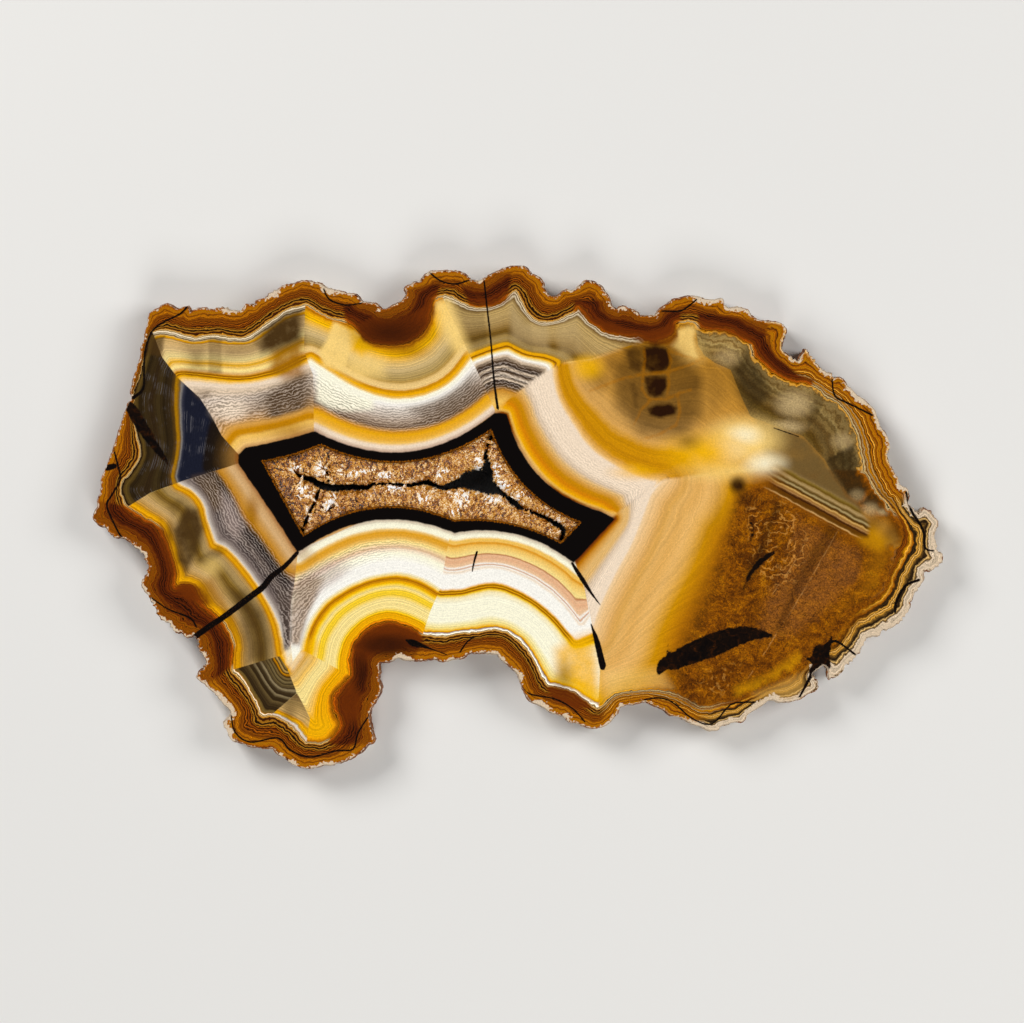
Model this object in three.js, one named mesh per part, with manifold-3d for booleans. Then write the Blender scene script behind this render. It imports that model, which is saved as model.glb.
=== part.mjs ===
// A polished slice of a banded agate nodule, lying on its sawn back face.
// It has two pieces: the slice of banded stone with its rough natural rim, and the crust of
// quartz crystals that lines the slice's hollow, split by a branching gap right through it.
// Frame: millimetres, +X along the slice, +Y up the photograph, +Z out of the polished face,
// origin under the middle of the slice, on the surface that it rests on.
import * as THREE from "three";
import { mergeVertices } from "three/addons/utils/BufferGeometryUtils.js";
import Module from "manifold-3d";

// Driving dimensions, in millimetres
const LENGTH = 127;
const THICKNESS = 5;
const CRUST_CLEARANCE = 0.3; // between the crust's edge and the wall of the hollow
const CRUST_RECESS = 0.25; // how far the crust stays under each sawn face
const RIM_BULGE = 0.35; // how far the natural skin swells out half way down
const RIM_UNDERCUT = 0.3; // how far the back face stops short of the front one
const RIM_WOBBLE = 0.22; // uneven part of the natural skin
const CRACK_DEPTH = 0.9;
const CRYSTAL_RADIUS = 0.75;
const CRYSTAL_LENGTH = 2.4;
const CRYSTAL_STEP = 1.8; // from one crystal to the next along the gap
const CRYSTAL_SIDES = 6;

// The outline of the polished face, read off the photograph by eye in its pixels, y down,
// clockwise from the upper left corner
const RIM_PX = [
  [151, 312], [158, 309], [162, 305], [169, 305], [177, 309], [187, 307],
  [190, 312], [198, 309], [212, 309], [222, 308], [232, 310], [240, 312],
  [244, 306], [253, 304], [260, 299], [269, 294], [278, 289], [288, 284],
  [297, 283], [304, 281], [313, 283], [321, 284], [328, 289], [335, 291],
  [344, 293], [355, 295], [363, 302], [371, 303], [377, 305], [382, 309],
  [388, 308], [398, 303], [404, 299], [407, 294], [405, 289], [410, 286],
  [414, 283], [420, 282], [425, 276], [431, 272], [440, 271], [449, 271],
  [459, 272], [465, 275], [471, 280], [478, 281], [484, 280], [491, 275],
  [499, 271], [508, 268], [517, 266], [525, 268], [531, 274], [538, 277],
  [542, 282], [545, 290], [549, 295], [554, 297], [560, 294], [565, 291],
  [574, 290], [580, 286], [585, 282], [593, 282], [601, 286], [604, 290],
  [609, 298], [612, 307], [617, 310], [622, 307], [628, 308], [634, 311],
  [640, 316], [647, 317], [655, 315], [660, 310], [667, 305], [673, 300],
  [681, 298], [688, 296], [697, 298], [704, 300], [713, 300], [723, 299],
  [723, 304], [728, 308], [737, 308], [748, 310], [751, 315], [757, 320],
  [766, 321], [776, 322], [784, 327], [786, 332], [782, 338], [781, 345],
  [785, 353], [791, 358], [799, 360], [803, 354], [807, 349], [812, 357],
  [818, 365], [825, 370], [831, 374], [834, 379], [840, 378], [848, 387],
  [855, 394], [863, 400], [872, 408], [876, 416], [881, 428], [887, 437],
  [889, 446], [887, 456], [891, 468], [897, 478], [899, 485], [907, 490],
  [908, 498], [911, 508], [919, 516], [922, 508], [928, 509], [934, 518],
  [938, 526], [935, 537], [938, 548], [942, 556], [939, 563], [932, 569],
  [925, 571], [921, 580], [915, 591], [909, 604], [904, 615], [898, 622],
  [890, 626], [882, 631], [875, 636], [866, 638], [862, 647], [856, 655],
  [848, 663], [840, 670], [830, 678], [827, 670], [822, 663], [815, 668],
  [813, 676], [818, 685], [817, 690], [807, 694], [799, 699], [790, 702],
  [780, 702], [773, 700], [765, 702], [758, 708], [748, 714], [743, 721],
  [731, 722], [721, 725], [718, 730], [710, 730], [698, 725], [688, 721],
  [679, 717], [669, 714], [662, 708], [652, 704], [644, 701], [633, 704],
  [620, 707], [616, 715], [609, 722], [599, 727], [589, 727], [579, 723],
  [569, 721], [563, 716], [551, 712], [541, 705], [529, 701], [525, 693],
  [521, 683], [517, 674], [510, 666], [502, 660], [498, 654], [490, 653],
  [479, 652], [468, 653], [462, 658], [452, 659], [443, 662], [435, 659],
  [423, 660], [410, 660], [397, 658], [388, 662], [379, 663], [379, 673],
  [378, 680], [381, 688], [377, 697], [372, 706], [369, 713], [370, 723],
  [372, 733], [373, 742], [367, 744], [361, 751], [352, 757], [343, 761],
  [331, 764], [317, 766], [305, 768], [296, 766], [287, 760], [278, 753],
  [273, 748], [262, 748], [250, 746], [239, 742], [231, 739], [227, 731],
  [224, 723], [230, 717], [231, 711], [222, 701], [214, 691], [205, 684],
  [198, 677], [203, 669], [205, 661], [200, 649], [199, 640], [195, 635],
  [187, 636], [177, 630], [168, 623], [159, 615], [156, 606], [149, 597],
  [143, 585], [146, 577], [148, 567], [145, 557], [139, 548], [131, 542],
  [121, 538], [113, 535], [107, 527], [98, 524], [93, 517], [97, 508],
  [98, 499], [101, 490], [101, 480], [105, 471], [109, 460], [114, 448],
  [118, 435], [124, 416], [131, 399], [131, 390], [135, 376], [140, 361],
  [142, 347], [146, 333], [149, 321],
];

// The hollow in the stone: its corners in photograph pixels, clockwise, each with the depth
// in pixels of the arc that leads from it to the next corner, bowed into the hollow
const HOLLOW_PX = [
  [261, 460.5, 2],
  [320.5, 443.5, 24.6],
  [491.5, 428.5, 15.5],
  [582, 522, 0],
  [561, 544, 8.5],
  [454.5, 521.7, 21],
  [303, 537, 0],
];
const ARC_STEP_PX = 9;

// The branches of the gap between the crystals: photograph pixels and the half width there
const GAP_BRANCHES_PX = [
  [[296, 476, 1.2], [312, 481, 2], [326, 487, 3.5]],
  [[307, 526, 1.2], [314, 508, 1.8], [326, 487, 3.5]],
  [[326, 487, 3.5], [350, 486, 3], [373, 484, 2], [400, 485, 1.8], [419, 483, 1.8],
   [436, 488, 2.6], [455, 486, 4.5], [470, 482, 9.5], [482, 480, 11]],
  [[484, 476, 9.5], [489, 455, 2.6], [491, 441, 1.2]],
  [[484, 480, 11], [503, 492, 3], [524, 504, 2.4], [544, 518, 2.4], [556, 527, 1.6]],
];
const GAP_ROOM_PX = 4; // space beside the gap that the crystal points stand in

// Fractures that are open at the polished face: a line in photograph pixels with half widths
const CRACKS_PX = [
  [[203, 629, 3], [222, 614, 3.4], [250, 595, 3.4], [275, 574, 3.2], [290, 561, 2.6]],
  [[135, 404, 3.5], [142, 422, 6], [153, 441, 5], [166, 466, 1.2]],
  [[664, 668, 2], [680, 658, 8], [712, 645, 9], [745, 638, 6], [768, 634, 1.5]],
  [[592, 625, 1.5], [597, 645, 3.2], [602, 666, 3.2]],
];

const wasm = await Module();
wasm.setup();

const rimX = RIM_PX.map(([x]) => x);
const rimY = RIM_PX.map(([, y]) => y);
const SCALE = LENGTH / (Math.max(...rimX) - Math.min(...rimX));
const MIDDLE_PX = [
  (Math.max(...rimX) + Math.min(...rimX)) / 2,
  (Math.max(...rimY) + Math.min(...rimY)) / 2,
];

// A place in the photograph as a point of the slice.
function place([x, y]) {
  return new THREE.Vector2((x - MIDDLE_PX[0]) * SCALE, (MIDDLE_PX[1] - y) * SCALE);
}

// A repeatable uneven number from -1 to 1 for each whole number.
function uneven(n) {
  const s = Math.sin(n * 127.1 + 311.7) * 43758.5453;
  return 2 * (s - Math.floor(s)) - 1;
}

// The loop moved sideways by distance, outwards where positive, with its corners kept sharp.
function offsetLoop(loop, distance) {
  const turn = THREE.ShapeUtils.isClockWise(loop) ? 1 : -1;
  return loop.map((p, i) => {
    const before = p.clone().sub(loop.at(i - 1)).normalize();
    const after = loop[(i + 1) % loop.length].clone().sub(p).normalize();
    const normal = new THREE.Vector2(-before.y - after.y, before.x + after.x);
    const share = Math.max(normal.lengthSq() / 2, 0.45);
    return p.clone().addScaledVector(normal, (turn * distance) / share);
  });
}

// The hollow's outline, with each side an arc bowed into the hollow.
function hollowLoop() {
  return HOLLOW_PX.flatMap(([x, y, bow], i) => {
    const start = new THREE.Vector2(x, y);
    const next = HOLLOW_PX[(i + 1) % HOLLOW_PX.length];
    const side = new THREE.Vector2(next[0], next[1]).sub(start);
    const inwards = new THREE.Vector2(-side.y, side.x).normalize();
    const steps = bow ? Math.round(side.length() / ARC_STEP_PX) : 1;
    return Array.from({ length: steps }, (_, k) => {
      const t = k / steps;
      const depth = 4 * bow * t * (1 - t);
      const p = start.clone().addScaledVector(side, t).addScaledVector(inwards, depth);
      return place([p.x, p.y]);
    });
  });
}

// A closed body between a front and a back face, with a straight hole through it.
// rings run from the back face to the front one: each is {z, loop}.
function slabGeometry(rings, hole) {
  const position = [];
  const faces = [];
  const addRing = (loop, z) => {
    const first = position.length / 3;
    loop.forEach((p) => position.push(p.x, p.y, z));
    return first;
  };
  const wall = (low, high, count, flip) => {
    for (let i = 0; i < count; i++) {
      const j = (i + 1) % count;
      const quad = [low + i, low + j, high + j, high + i];
      if (flip) quad.reverse();
      faces.push(quad[0], quad[1], quad[2], quad[0], quad[2], quad[3]);
    }
  };
  const cap = (loop, rimFirst, holeFirst, flip) => {
    for (const corners of THREE.ShapeUtils.triangulateShape(loop, [hole])) {
      const ids = corners.map((c) =>
        c < loop.length ? rimFirst + c : holeFirst + c - loop.length,
      );
      faces.push(...(flip ? ids.reverse() : ids));
    }
  };
  const firsts = rings.map(({ loop, z }) => addRing(loop, z));
  const back = rings[0];
  const front = rings.at(-1);
  const holeBack = addRing(hole, back.z);
  const holeFront = addRing(hole, front.z);
  for (let k = 1; k < rings.length; k++)
    wall(firsts[k - 1], firsts[k], back.loop.length, false);
  wall(holeBack, holeFront, hole.length, true);
  cap(back.loop, firsts[0], holeBack, true);
  cap(front.loop, firsts.at(-1), holeFront, false);
  const geometry = new THREE.BufferGeometry();
  geometry.setAttribute("position", new THREE.Float32BufferAttribute(position, 3));
  geometry.setIndex(faces);
  return geometry;
}

// A closed geometry as a solid for cutting and joining.
function toSolid(geometry) {
  const bare = geometry.index ? geometry.clone() : geometry;
  bare.deleteAttribute("normal");
  bare.deleteAttribute("uv");
  const merged = mergeVertices(bare, 1e-4);
  const index = merged.index.array;
  const triangles = [];
  for (let i = 0; i < index.length; i += 3) {
    const [a, b, c] = index.subarray(i, i + 3);
    if (a !== b && b !== c && c !== a) triangles.push(a, b, c);
  }
  return new wasm.Manifold(
    new wasm.Mesh({
      numProp: 3,
      vertProperties: merged.attributes.position.array,
      triVerts: new Uint32Array(triangles),
    }),
  );
}

function toGeometry(solid) {
  const mesh = solid.getMesh();
  const geometry = new THREE.BufferGeometry();
  geometry.setAttribute("position", new THREE.BufferAttribute(mesh.vertProperties, 3));
  geometry.setIndex(new THREE.BufferAttribute(mesh.triVerts, 1));
  geometry.computeVertexNormals();
  return geometry;
}

function prism(loop, low, high) {
  const shape = new THREE.Shape(loop);
  const geometry = new THREE.ExtrudeGeometry(shape, { depth: high - low, bevelEnabled: false });
  return toSolid(geometry.translate(0, 0, low));
}

// One tapering stretch of a gap or fracture, as a six-sided outline round its line.
function stretchLoop(from, to, room) {
  const [a, b] = [place(from), place(to)];
  const along = b.clone().sub(a).normalize();
  const side = new THREE.Vector2(-along.y, along.x);
  const wide = [from[2] + room, to[2] + room].map((w) => w * SCALE);
  return [
    a.clone().addScaledVector(side, wide[0]),
    a.clone().addScaledVector(along, -wide[0]),
    a.clone().addScaledVector(side, -wide[0]),
    b.clone().addScaledVector(side, -wide[1]),
    b.clone().addScaledVector(along, wide[1]),
    b.clone().addScaledVector(side, wide[1]),
  ];
}

function stretches(lines) {
  return lines.flatMap((line) => line.slice(1).map((to, i) => [line[i], to]));
}

// The banded stone: flat sawn faces, an uneven natural rim, the hollow and the open fractures.
function sliceSolid(rim, hole) {
  const skin = (z, out, layer) => ({
    z,
    loop: offsetLoop(rim, out).map((p, i) =>
      p.add(new THREE.Vector2(uneven(i + 31 * layer), uneven(i + 57 * layer))
        .multiplyScalar(layer ? RIM_WOBBLE : 0)),
    ),
  });
  const rings = [
    skin(0, -RIM_UNDERCUT, 1),
    skin(THICKNESS * 0.32, RIM_BULGE * 0.6, 2),
    skin(THICKNESS * 0.7, RIM_BULGE, 3),
    skin(THICKNESS, 0, 0),
  ];
  let solid = toSolid(slabGeometry(rings, hole));
  for (const [from, to] of stretches(CRACKS_PX)) {
    const groove = prism(stretchLoop(from, to, 0), THICKNESS - CRACK_DEPTH, THICKNESS + 1);
    solid = solid.subtract(groove);
  }
  return solid;
}

// A six-sided quartz crystal whose point is at tip and looks along direction.
function crystal(tip, direction, radius) {
  const point = radius * 1.5;
  const profile = [
    [0, -CRYSTAL_LENGTH],
    [radius * 0.9, -CRYSTAL_LENGTH],
    [radius, -point],
    [0, 0],
  ].map(([x, y]) => new THREE.Vector2(x, y));
  const geometry = new THREE.LatheGeometry(profile, CRYSTAL_SIDES);
  const turn = new THREE.Quaternion().setFromUnitVectors(new THREE.Vector3(0, 1, 0), direction);
  geometry.applyQuaternion(turn).translate(tip.x, tip.y, tip.z);
  return toSolid(geometry);
}

// Crystals along both sides of the gap, pointing into it, in layers down through the slice.
function gapCrystals() {
  const layers = [0.27, 0.73];
  const made = [];
  let n = 0;
  for (const [from, to] of stretches(GAP_BRANCHES_PX)) {
    const [a, b] = [place(from), place(to)];
    const run = b.clone().sub(a);
    const count = Math.max(1, Math.round(run.length() / CRYSTAL_STEP));
    const normal = new THREE.Vector2(-run.y, run.x).normalize();
    for (let k = 0; k < count; k++)
      for (const side of [-1, 1])
        for (const layer of layers) {
          n += 1;
          const t = (k + 0.5 + 0.4 * uneven(n)) / count;
          const half = (from[2] + (to[2] - from[2]) * t) * SCALE;
          const tip = a.clone().addScaledVector(run, t);
          tip.addScaledVector(normal, side * half * (1 + 0.25 * uneven(n + 0.3)));
          const into = normal.clone().multiplyScalar(-side);
          const lean = run.clone().normalize().multiplyScalar(0.5 * uneven(n + 0.6));
          const rise = (layer - 0.5) * 1.2 + 0.25 * uneven(n + 0.9);
          const direction = new THREE.Vector3(into.x + lean.x, into.y + lean.y, rise);
          const z = THICKNESS * (layer + 0.05 * uneven(n + 0.1));
          const radius = CRYSTAL_RADIUS * (1 + 0.3 * uneven(n + 0.7));
          made.push(crystal(new THREE.Vector3(tip.x, tip.y, z), direction.normalize(), radius));
        }
  }
  return made;
}

// The quartz crust: one body that fills the hollow up to the crystal points along the gap.
function crustSolid(hole) {
  const low = CRUST_RECESS;
  const high = THICKNESS - CRUST_RECESS;
  const filling = prism(offsetLoop(hole, -CRUST_CLEARANCE), low, high);
  let crust = filling;
  for (const [from, to] of stretches(GAP_BRANCHES_PX))
    crust = crust.subtract(prism(stretchLoop(from, to, GAP_ROOM_PX), -1, THICKNESS + 1));
  for (const point of gapCrystals()) crust = crust.add(point);
  for (const [from, to] of stretches(GAP_BRANCHES_PX))
    crust = crust.subtract(prism(stretchLoop(from, to, -0.7), -1, THICKNESS + 1));
  crust = crust.intersect(filling);
  return crust.decompose().sort((a, b) => b.volume() - a.volume())[0];
}

function piece(name, solid, colour, roughness) {
  const material = new THREE.MeshStandardMaterial({ color: colour, roughness, metalness: 0 });
  const mesh = new THREE.Mesh(toGeometry(solid), material);
  mesh.name = name;
  return mesh;
}

const agate = new THREE.Group();
const rim = RIM_PX.map(place).reverse();
const hole = hollowLoop().reverse();
agate.add(piece("agate_slice", sliceSolid(rim, hole), 0xc98a3a, 0.15));
agate.add(piece("quartz_crust", crustSolid(hole), 0xb98d5a, 0.3));

// The frame's origin is under the middle of the slice.
const middle = new THREE.Box3().setFromObject(agate).getCenter(new THREE.Vector3());
agate.position.set(-middle.x, -middle.y, 0);

export default agate;
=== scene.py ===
"""A polished slice of banded agate, lying on a pale floor and seen from straight above.

Shapes are described in the photograph's pixels, y down, and turned into metres by to_world.
Every marking is a formula: distances to drawn contours, creases, patches and fractures
are kept on the mesh's points, and the material turns them into bands and colours.
"""
import math

import bpy
import numpy as np
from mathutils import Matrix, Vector, kdtree
from mathutils.geometry import delaunay_2d_cdt


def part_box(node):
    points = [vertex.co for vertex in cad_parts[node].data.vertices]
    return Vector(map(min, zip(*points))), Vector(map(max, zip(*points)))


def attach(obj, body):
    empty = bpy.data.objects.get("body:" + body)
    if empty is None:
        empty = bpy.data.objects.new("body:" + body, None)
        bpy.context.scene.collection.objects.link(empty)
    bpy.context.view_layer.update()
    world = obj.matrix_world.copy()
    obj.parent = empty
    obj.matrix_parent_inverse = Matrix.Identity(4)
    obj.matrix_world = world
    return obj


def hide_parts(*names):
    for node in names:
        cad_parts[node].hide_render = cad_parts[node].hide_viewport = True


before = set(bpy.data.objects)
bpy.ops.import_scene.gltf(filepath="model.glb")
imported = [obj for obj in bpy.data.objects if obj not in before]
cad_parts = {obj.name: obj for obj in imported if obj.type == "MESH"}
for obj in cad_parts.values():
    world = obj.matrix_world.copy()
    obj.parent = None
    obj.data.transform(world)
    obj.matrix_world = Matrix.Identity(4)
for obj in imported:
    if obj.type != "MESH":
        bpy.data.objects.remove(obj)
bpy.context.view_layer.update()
SLICE_BOX = [Vector(corner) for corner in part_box("agate_slice")]
CRUST_BOX = [Vector(corner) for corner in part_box("quartz_crust")]

# The rim of the polished face in pixels, clockwise from the upper left corner
RIM = [
    (151, 312), (158, 309), (162, 305), (169, 305), (177, 309), (187, 307),
    (190, 312), (198, 309), (212, 309), (222, 308), (232, 310), (240, 312),
    (244, 306), (253, 304), (260, 299), (269, 294), (278, 289), (288, 284),
    (297, 283), (304, 281), (313, 283), (321, 284), (328, 289), (335, 291),
    (344, 293), (355, 295), (363, 302), (371, 303), (377, 305), (382, 309),
    (388, 308), (398, 303), (404, 299), (407, 294), (405, 289), (410, 286),
    (414, 283), (420, 282), (425, 276), (431, 272), (440, 271), (449, 271),
    (459, 272), (465, 275), (471, 280), (478, 281), (484, 280), (491, 275),
    (499, 271), (508, 268), (517, 266), (525, 268), (531, 274), (538, 277),
    (542, 282), (545, 290), (549, 295), (554, 297), (560, 294), (565, 291),
    (574, 290), (580, 286), (585, 282), (593, 282), (601, 286), (604, 290),
    (609, 298), (612, 307), (617, 310), (622, 307), (628, 308), (634, 311),
    (640, 316), (647, 317), (655, 315), (660, 310), (667, 305), (673, 300),
    (681, 298), (688, 296), (697, 298), (704, 300), (713, 300), (723, 299),
    (723, 304), (728, 308), (737, 308), (748, 310), (751, 315), (757, 320),
    (766, 321), (776, 322), (784, 327), (786, 332), (782, 338), (781, 345),
    (785, 353), (791, 358), (799, 360), (803, 354), (807, 349), (812, 357),
    (818, 365), (825, 370), (831, 374), (834, 379), (840, 378), (848, 387),
    (855, 394), (863, 400), (872, 408), (876, 416), (881, 428), (887, 437),
    (889, 446), (887, 456), (891, 468), (897, 478), (899, 485), (907, 490),
    (908, 498), (911, 508), (919, 516), (922, 508), (928, 509), (934, 518),
    (938, 526), (935, 537), (938, 548), (942, 556), (939, 563), (932, 569),
    (925, 571), (921, 580), (915, 591), (909, 604), (904, 615), (898, 622),
    (890, 626), (882, 631), (875, 636), (866, 638), (862, 647), (856, 655),
    (848, 663), (840, 670), (830, 678), (827, 670), (822, 663), (815, 668),
    (813, 676), (818, 685), (817, 690), (807, 694), (799, 699), (790, 702),
    (780, 702), (773, 700), (765, 702), (758, 708), (748, 714), (743, 721),
    (731, 722), (721, 725), (718, 730), (710, 730), (698, 725), (688, 721),
    (679, 717), (669, 714), (662, 708), (652, 704), (644, 701), (633, 704),
    (620, 707), (616, 715), (609, 722), (599, 727), (589, 727), (579, 723),
    (569, 721), (563, 716), (551, 712), (541, 705), (529, 701), (525, 693),
    (521, 683), (517, 674), (510, 666), (502, 660), (498, 654), (490, 653),
    (479, 652), (468, 653), (462, 658), (452, 659), (443, 662), (435, 659),
    (423, 660), (410, 660), (397, 658), (388, 662), (379, 663), (379, 673),
    (378, 680), (381, 688), (377, 697), (372, 706), (369, 713), (370, 723),
    (372, 733), (373, 742), (367, 744), (361, 751), (352, 757), (343, 761),
    (331, 764), (317, 766), (305, 768), (296, 766), (287, 760), (278, 753),
    (273, 748), (262, 748), (250, 746), (239, 742), (231, 739), (227, 731),
    (224, 723), (230, 717), (231, 711), (222, 701), (214, 691), (205, 684),
    (198, 677), (203, 669), (205, 661), (200, 649), (199, 640), (195, 635),
    (187, 636), (177, 630), (168, 623), (159, 615), (156, 606), (149, 597),
    (143, 585), (146, 577), (148, 567), (145, 557), (139, 548), (131, 542),
    (121, 538), (113, 535), (107, 527), (98, 524), (93, 517), (97, 508),
    (98, 499), (101, 490), (101, 480), (105, 471), (109, 460), (114, 448),
    (118, 435), (124, 416), (131, 399), (131, 390), (135, 376), (140, 361),
    (142, 347), (146, 333), (149, 321),
]
# Where the layered rind ends: the outer edge of the inner bands. A third number marks a crease.
RIND_EDGE = [
    (150, 334, 1), (161, 330), (175, 333), (192, 338), (212, 336), (232, 338),
    (248, 337), (265, 326), (282, 313), (296, 308), (306, 305, 1), (313, 310),
    (327, 318), (344, 322), (356, 329, 1), (363, 339), (377, 345), (397, 346),
    (414, 341), (427, 329), (432, 312), (434, 300, 1), (445, 296), (459, 302),
    (473, 308), (487, 308), (501, 303), (515, 291, 1), (523, 308), (537, 322),
    (553, 322), (572, 314), (578, 308, 1), (587, 320), (602, 331), (621, 336),
    (639, 337), (651, 342), (670, 336), (676, 324, 1), (694, 323), (706, 331),
    (725, 331), (740, 339), (749, 345, 1), (755, 357), (771, 372), (789, 382),
    (811, 386), (826, 397), (841, 406), (850, 421), (857, 440), (861, 458),
    (866, 476), (875, 492), (887, 504), (899, 519), (905, 535), (899, 547),
    (890, 568), (881, 590), (863, 602), (844, 614), (832, 633), (817, 645),
    (804, 651), (800, 664), (777, 680), (750, 694), (726, 702), (703, 706),
    (688, 699), (670, 691), (651, 690), (633, 691), (617, 694), (606, 702),
    (598, 709, 1), (587, 701), (573, 691), (557, 686), (548, 686, 1), (542, 676),
    (534, 660), (526, 647), (516, 637), (505, 631), (490, 629), (470, 632), (442, 635),
    (422, 634, 1), (418, 630), (405, 624), (387, 620), (371, 625), (360, 634),
    (351, 647), (348, 663), (350, 674, 1), (340, 685), (332, 696), (332, 712),
    (338, 725), (331, 737), (320, 743), (306, 741, 1), (302, 737), (295, 728),
    (284, 720), (273, 715), (262, 716, 1), (258, 705), (250, 692), (242, 679),
    (235, 671, 1), (234, 656), (235, 643), (229, 627), (219, 616), (208, 607),
    (201, 596), (195, 586), (184, 583), (176, 585, 1), (178, 574), (173, 556),
    (167, 538), (159, 525), (146, 517), (130, 508, 1), (123, 497), (122, 483),
    (132, 472), (140, 458), (140, 444), (133, 418), (132, 396), (139, 376),
    (144, 357), (147, 340),
]
# The yellow line between the tan bands and the white ones
YELLOW_LINE = [
    (184, 375, 1), (209, 378), (226, 380), (248, 380), (276, 374), (293, 366),
    (311, 358, 1), (327, 369), (349, 383), (377, 394.5), (403, 398), (431, 392),
    (453, 379), (471, 357, 1), (492, 349), (508, 345, 1), (526, 354), (545, 357),
    (557, 362, 1), (556, 373), (561, 397), (575, 421), (593, 446), (618, 464),
    (645, 476), (664, 479, 1), (651, 495, 1), (633, 541), (615, 575), (600, 607),
    (592, 632, 1), (576, 639, 1), (567, 629), (556, 616), (541, 603), (520, 590),
    (498, 582), (480, 583), (462, 588), (442, 589, 1), (420, 577), (398, 572),
    (375, 575), (357, 581), (343, 588), (326, 599), (314, 614), (307, 626), (302.5, 640),
    (301, 650, 1), (287, 668, 1), (280.5, 656, 1), (277.5, 638), (273, 620), (264.4, 602),
    (254, 584), (241, 567), (226, 551), (213, 545, 1), (205, 522), (201, 505),
    (192, 494), (177, 486, 1), (173, 477), (177, 458), (179, 441), (178, 424),
    (177, 407), (177, 390), (178, 376, 1),
]
# The black ring's outer edge and the hollow: corners, each with the depth of the arc to the
# next one, bowed towards the hollow
RING = [
    (246.5, 447.2, 1.5), (314.3, 431, 30.5), (496, 411.8, 0), (506.8, 414.5, 19.5),
    (600.3, 511.3, 0), (615, 518.6, 0), (573.5, 563, 13.8), (454.5, 533, 22.6),
    (298, 553, 0.6), (238.3, 463.8, 0), (238.3, 454.5, 0),
]
HOLLOW = [
    (261, 460.5, 2), (320.5, 443.5, 24.6), (491.5, 428.5, 15.5), (582, 522, 0),
    (561, 544, 8.5), (454.5, 521.7, 21), (303, 537, 0),
]
# The bands below the ring run on past its lower right corner as if it followed this line
RING_RUNS_ON = [(573.5, 563, 0), (590, 582, 0), (604, 604, 0), (614, 628, 0), (620, 656, 0)]
# The gap between the crystals: its branches as lines of (x, y, half width)
GAP_BRANCHES = [
    [(293, 472, 0.6), (301, 477, 1.8), (310, 479, 2.8), (323, 486, 3.8), (337, 488, 3.4),
     (348, 487, 3.2), (365, 487.5, 2.4), (376, 483.5, 1.3), (399, 484.4, 1.4), (411, 485.4, 1.8),
     (425, 482, 2.6), (437, 486.5, 2.4), (444, 487.5, 3.2), (460, 483, 5.2), (470, 480, 9.3),
     (482, 480, 11.5)],
    [(319, 492, 2.2), (314.3, 501, 1.4), (308, 515, 1.3), (302.6, 528, 1.1), (302, 533, 0.6)],
    [(328, 481, 1.2), (326, 468, 0.8)],
    [(324.6, 509, 0.5), (330, 508, 0.8), (335, 504.6, 0.5)],
    [(480, 480, 9.5), (486, 474, 7), (487, 463, 3), (485.4, 453, 1.8), (489, 441.5, 1.2),
     (491.5, 436, 0.8)],
    [(481, 482, 10), (489, 487, 7.4), (496, 489.5, 4), (503, 494, 2.2), (515, 503.5, 3.2),
     (523, 509, 1.8), (541.7, 516, 1.8), (552, 521.8, 2.6), (563, 529, 2.6), (562, 538, 2)],
]
# The brightest crystals, their own pale colour with a painted glow of light shining through them: x, y, rx,
# ry
WHITE_AND_GLOWING_CRYSTALS = [
    (294, 467, 9, 5), (301, 493, 10, 10), (320, 468, 7, 9), (341, 470, 4, 6), (366, 470, 9, 4),
    (395, 488, 9, 6), (424, 499, 9, 6), (441, 473, 7, 7), (460, 499, 11, 9), (478, 462, 4, 9),
    (498, 473, 4, 11), (504, 486, 7, 6), (492, 499, 10, 5), (519, 496, 5, 6), (330, 502, 8, 6),
    (308, 513, 4, 9), (385, 475, 9, 4), (557, 520, 4, 3), (452, 509, 8, 7), (352, 474, 10, 4),
]

# Sizes
RIM_LEFT, RIM_RIGHT = 93, 942
RIM_TOP, RIM_BOTTOM = 266, 768
GRID_STEP = 2.6
BACK_STEP = 4.2
LOOP_STEP = 2.2
CRUST_STEP = 1.3
CONTACT = 1.7  # the slice reaches this far into the clearance round the crust
CLEARANCE = 2.0
GRAINS = 3000
CRYSTALS = 1300
RIND_LAYERS = 30
TAN_LAYERS = 45
WHITE_LAYERS = 55
SKIN_MARGIN = 1.2
SKIN_LEVELS = (0.05, 0.16, 0.3, 0.45, 0.6, 0.74, 0.87, 0.96)  # shares of the thickness
GRAIN_EDGE = 14  # how much a grain's height moves the edge of the gap
THINNEST = 0.4  # no line gets a smaller half width
NEAR_RIM = 14
CONTOUR_STEP = 5
ARC_STEP = 6
SEED = 11
MM = 0.001
QUARTZ_IOR = 1.54
POLISH, GRAIN_GLOSS, ROUGH_SKIN = 0.14, 0.3, 0.75  # roughness
# extra roughness on the gap's floor, which is painted black as painted shade
GAP_DULLNESS = 0.65
RICHNESS = 1.04
FLOOR_HALF = 3.0
FLOOR_BELOW = 0.00002
LENS, SENSOR = 120, 36
IMAGE_WIDTH, IMAGE_HEIGHT = 1024, 1023

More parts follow.
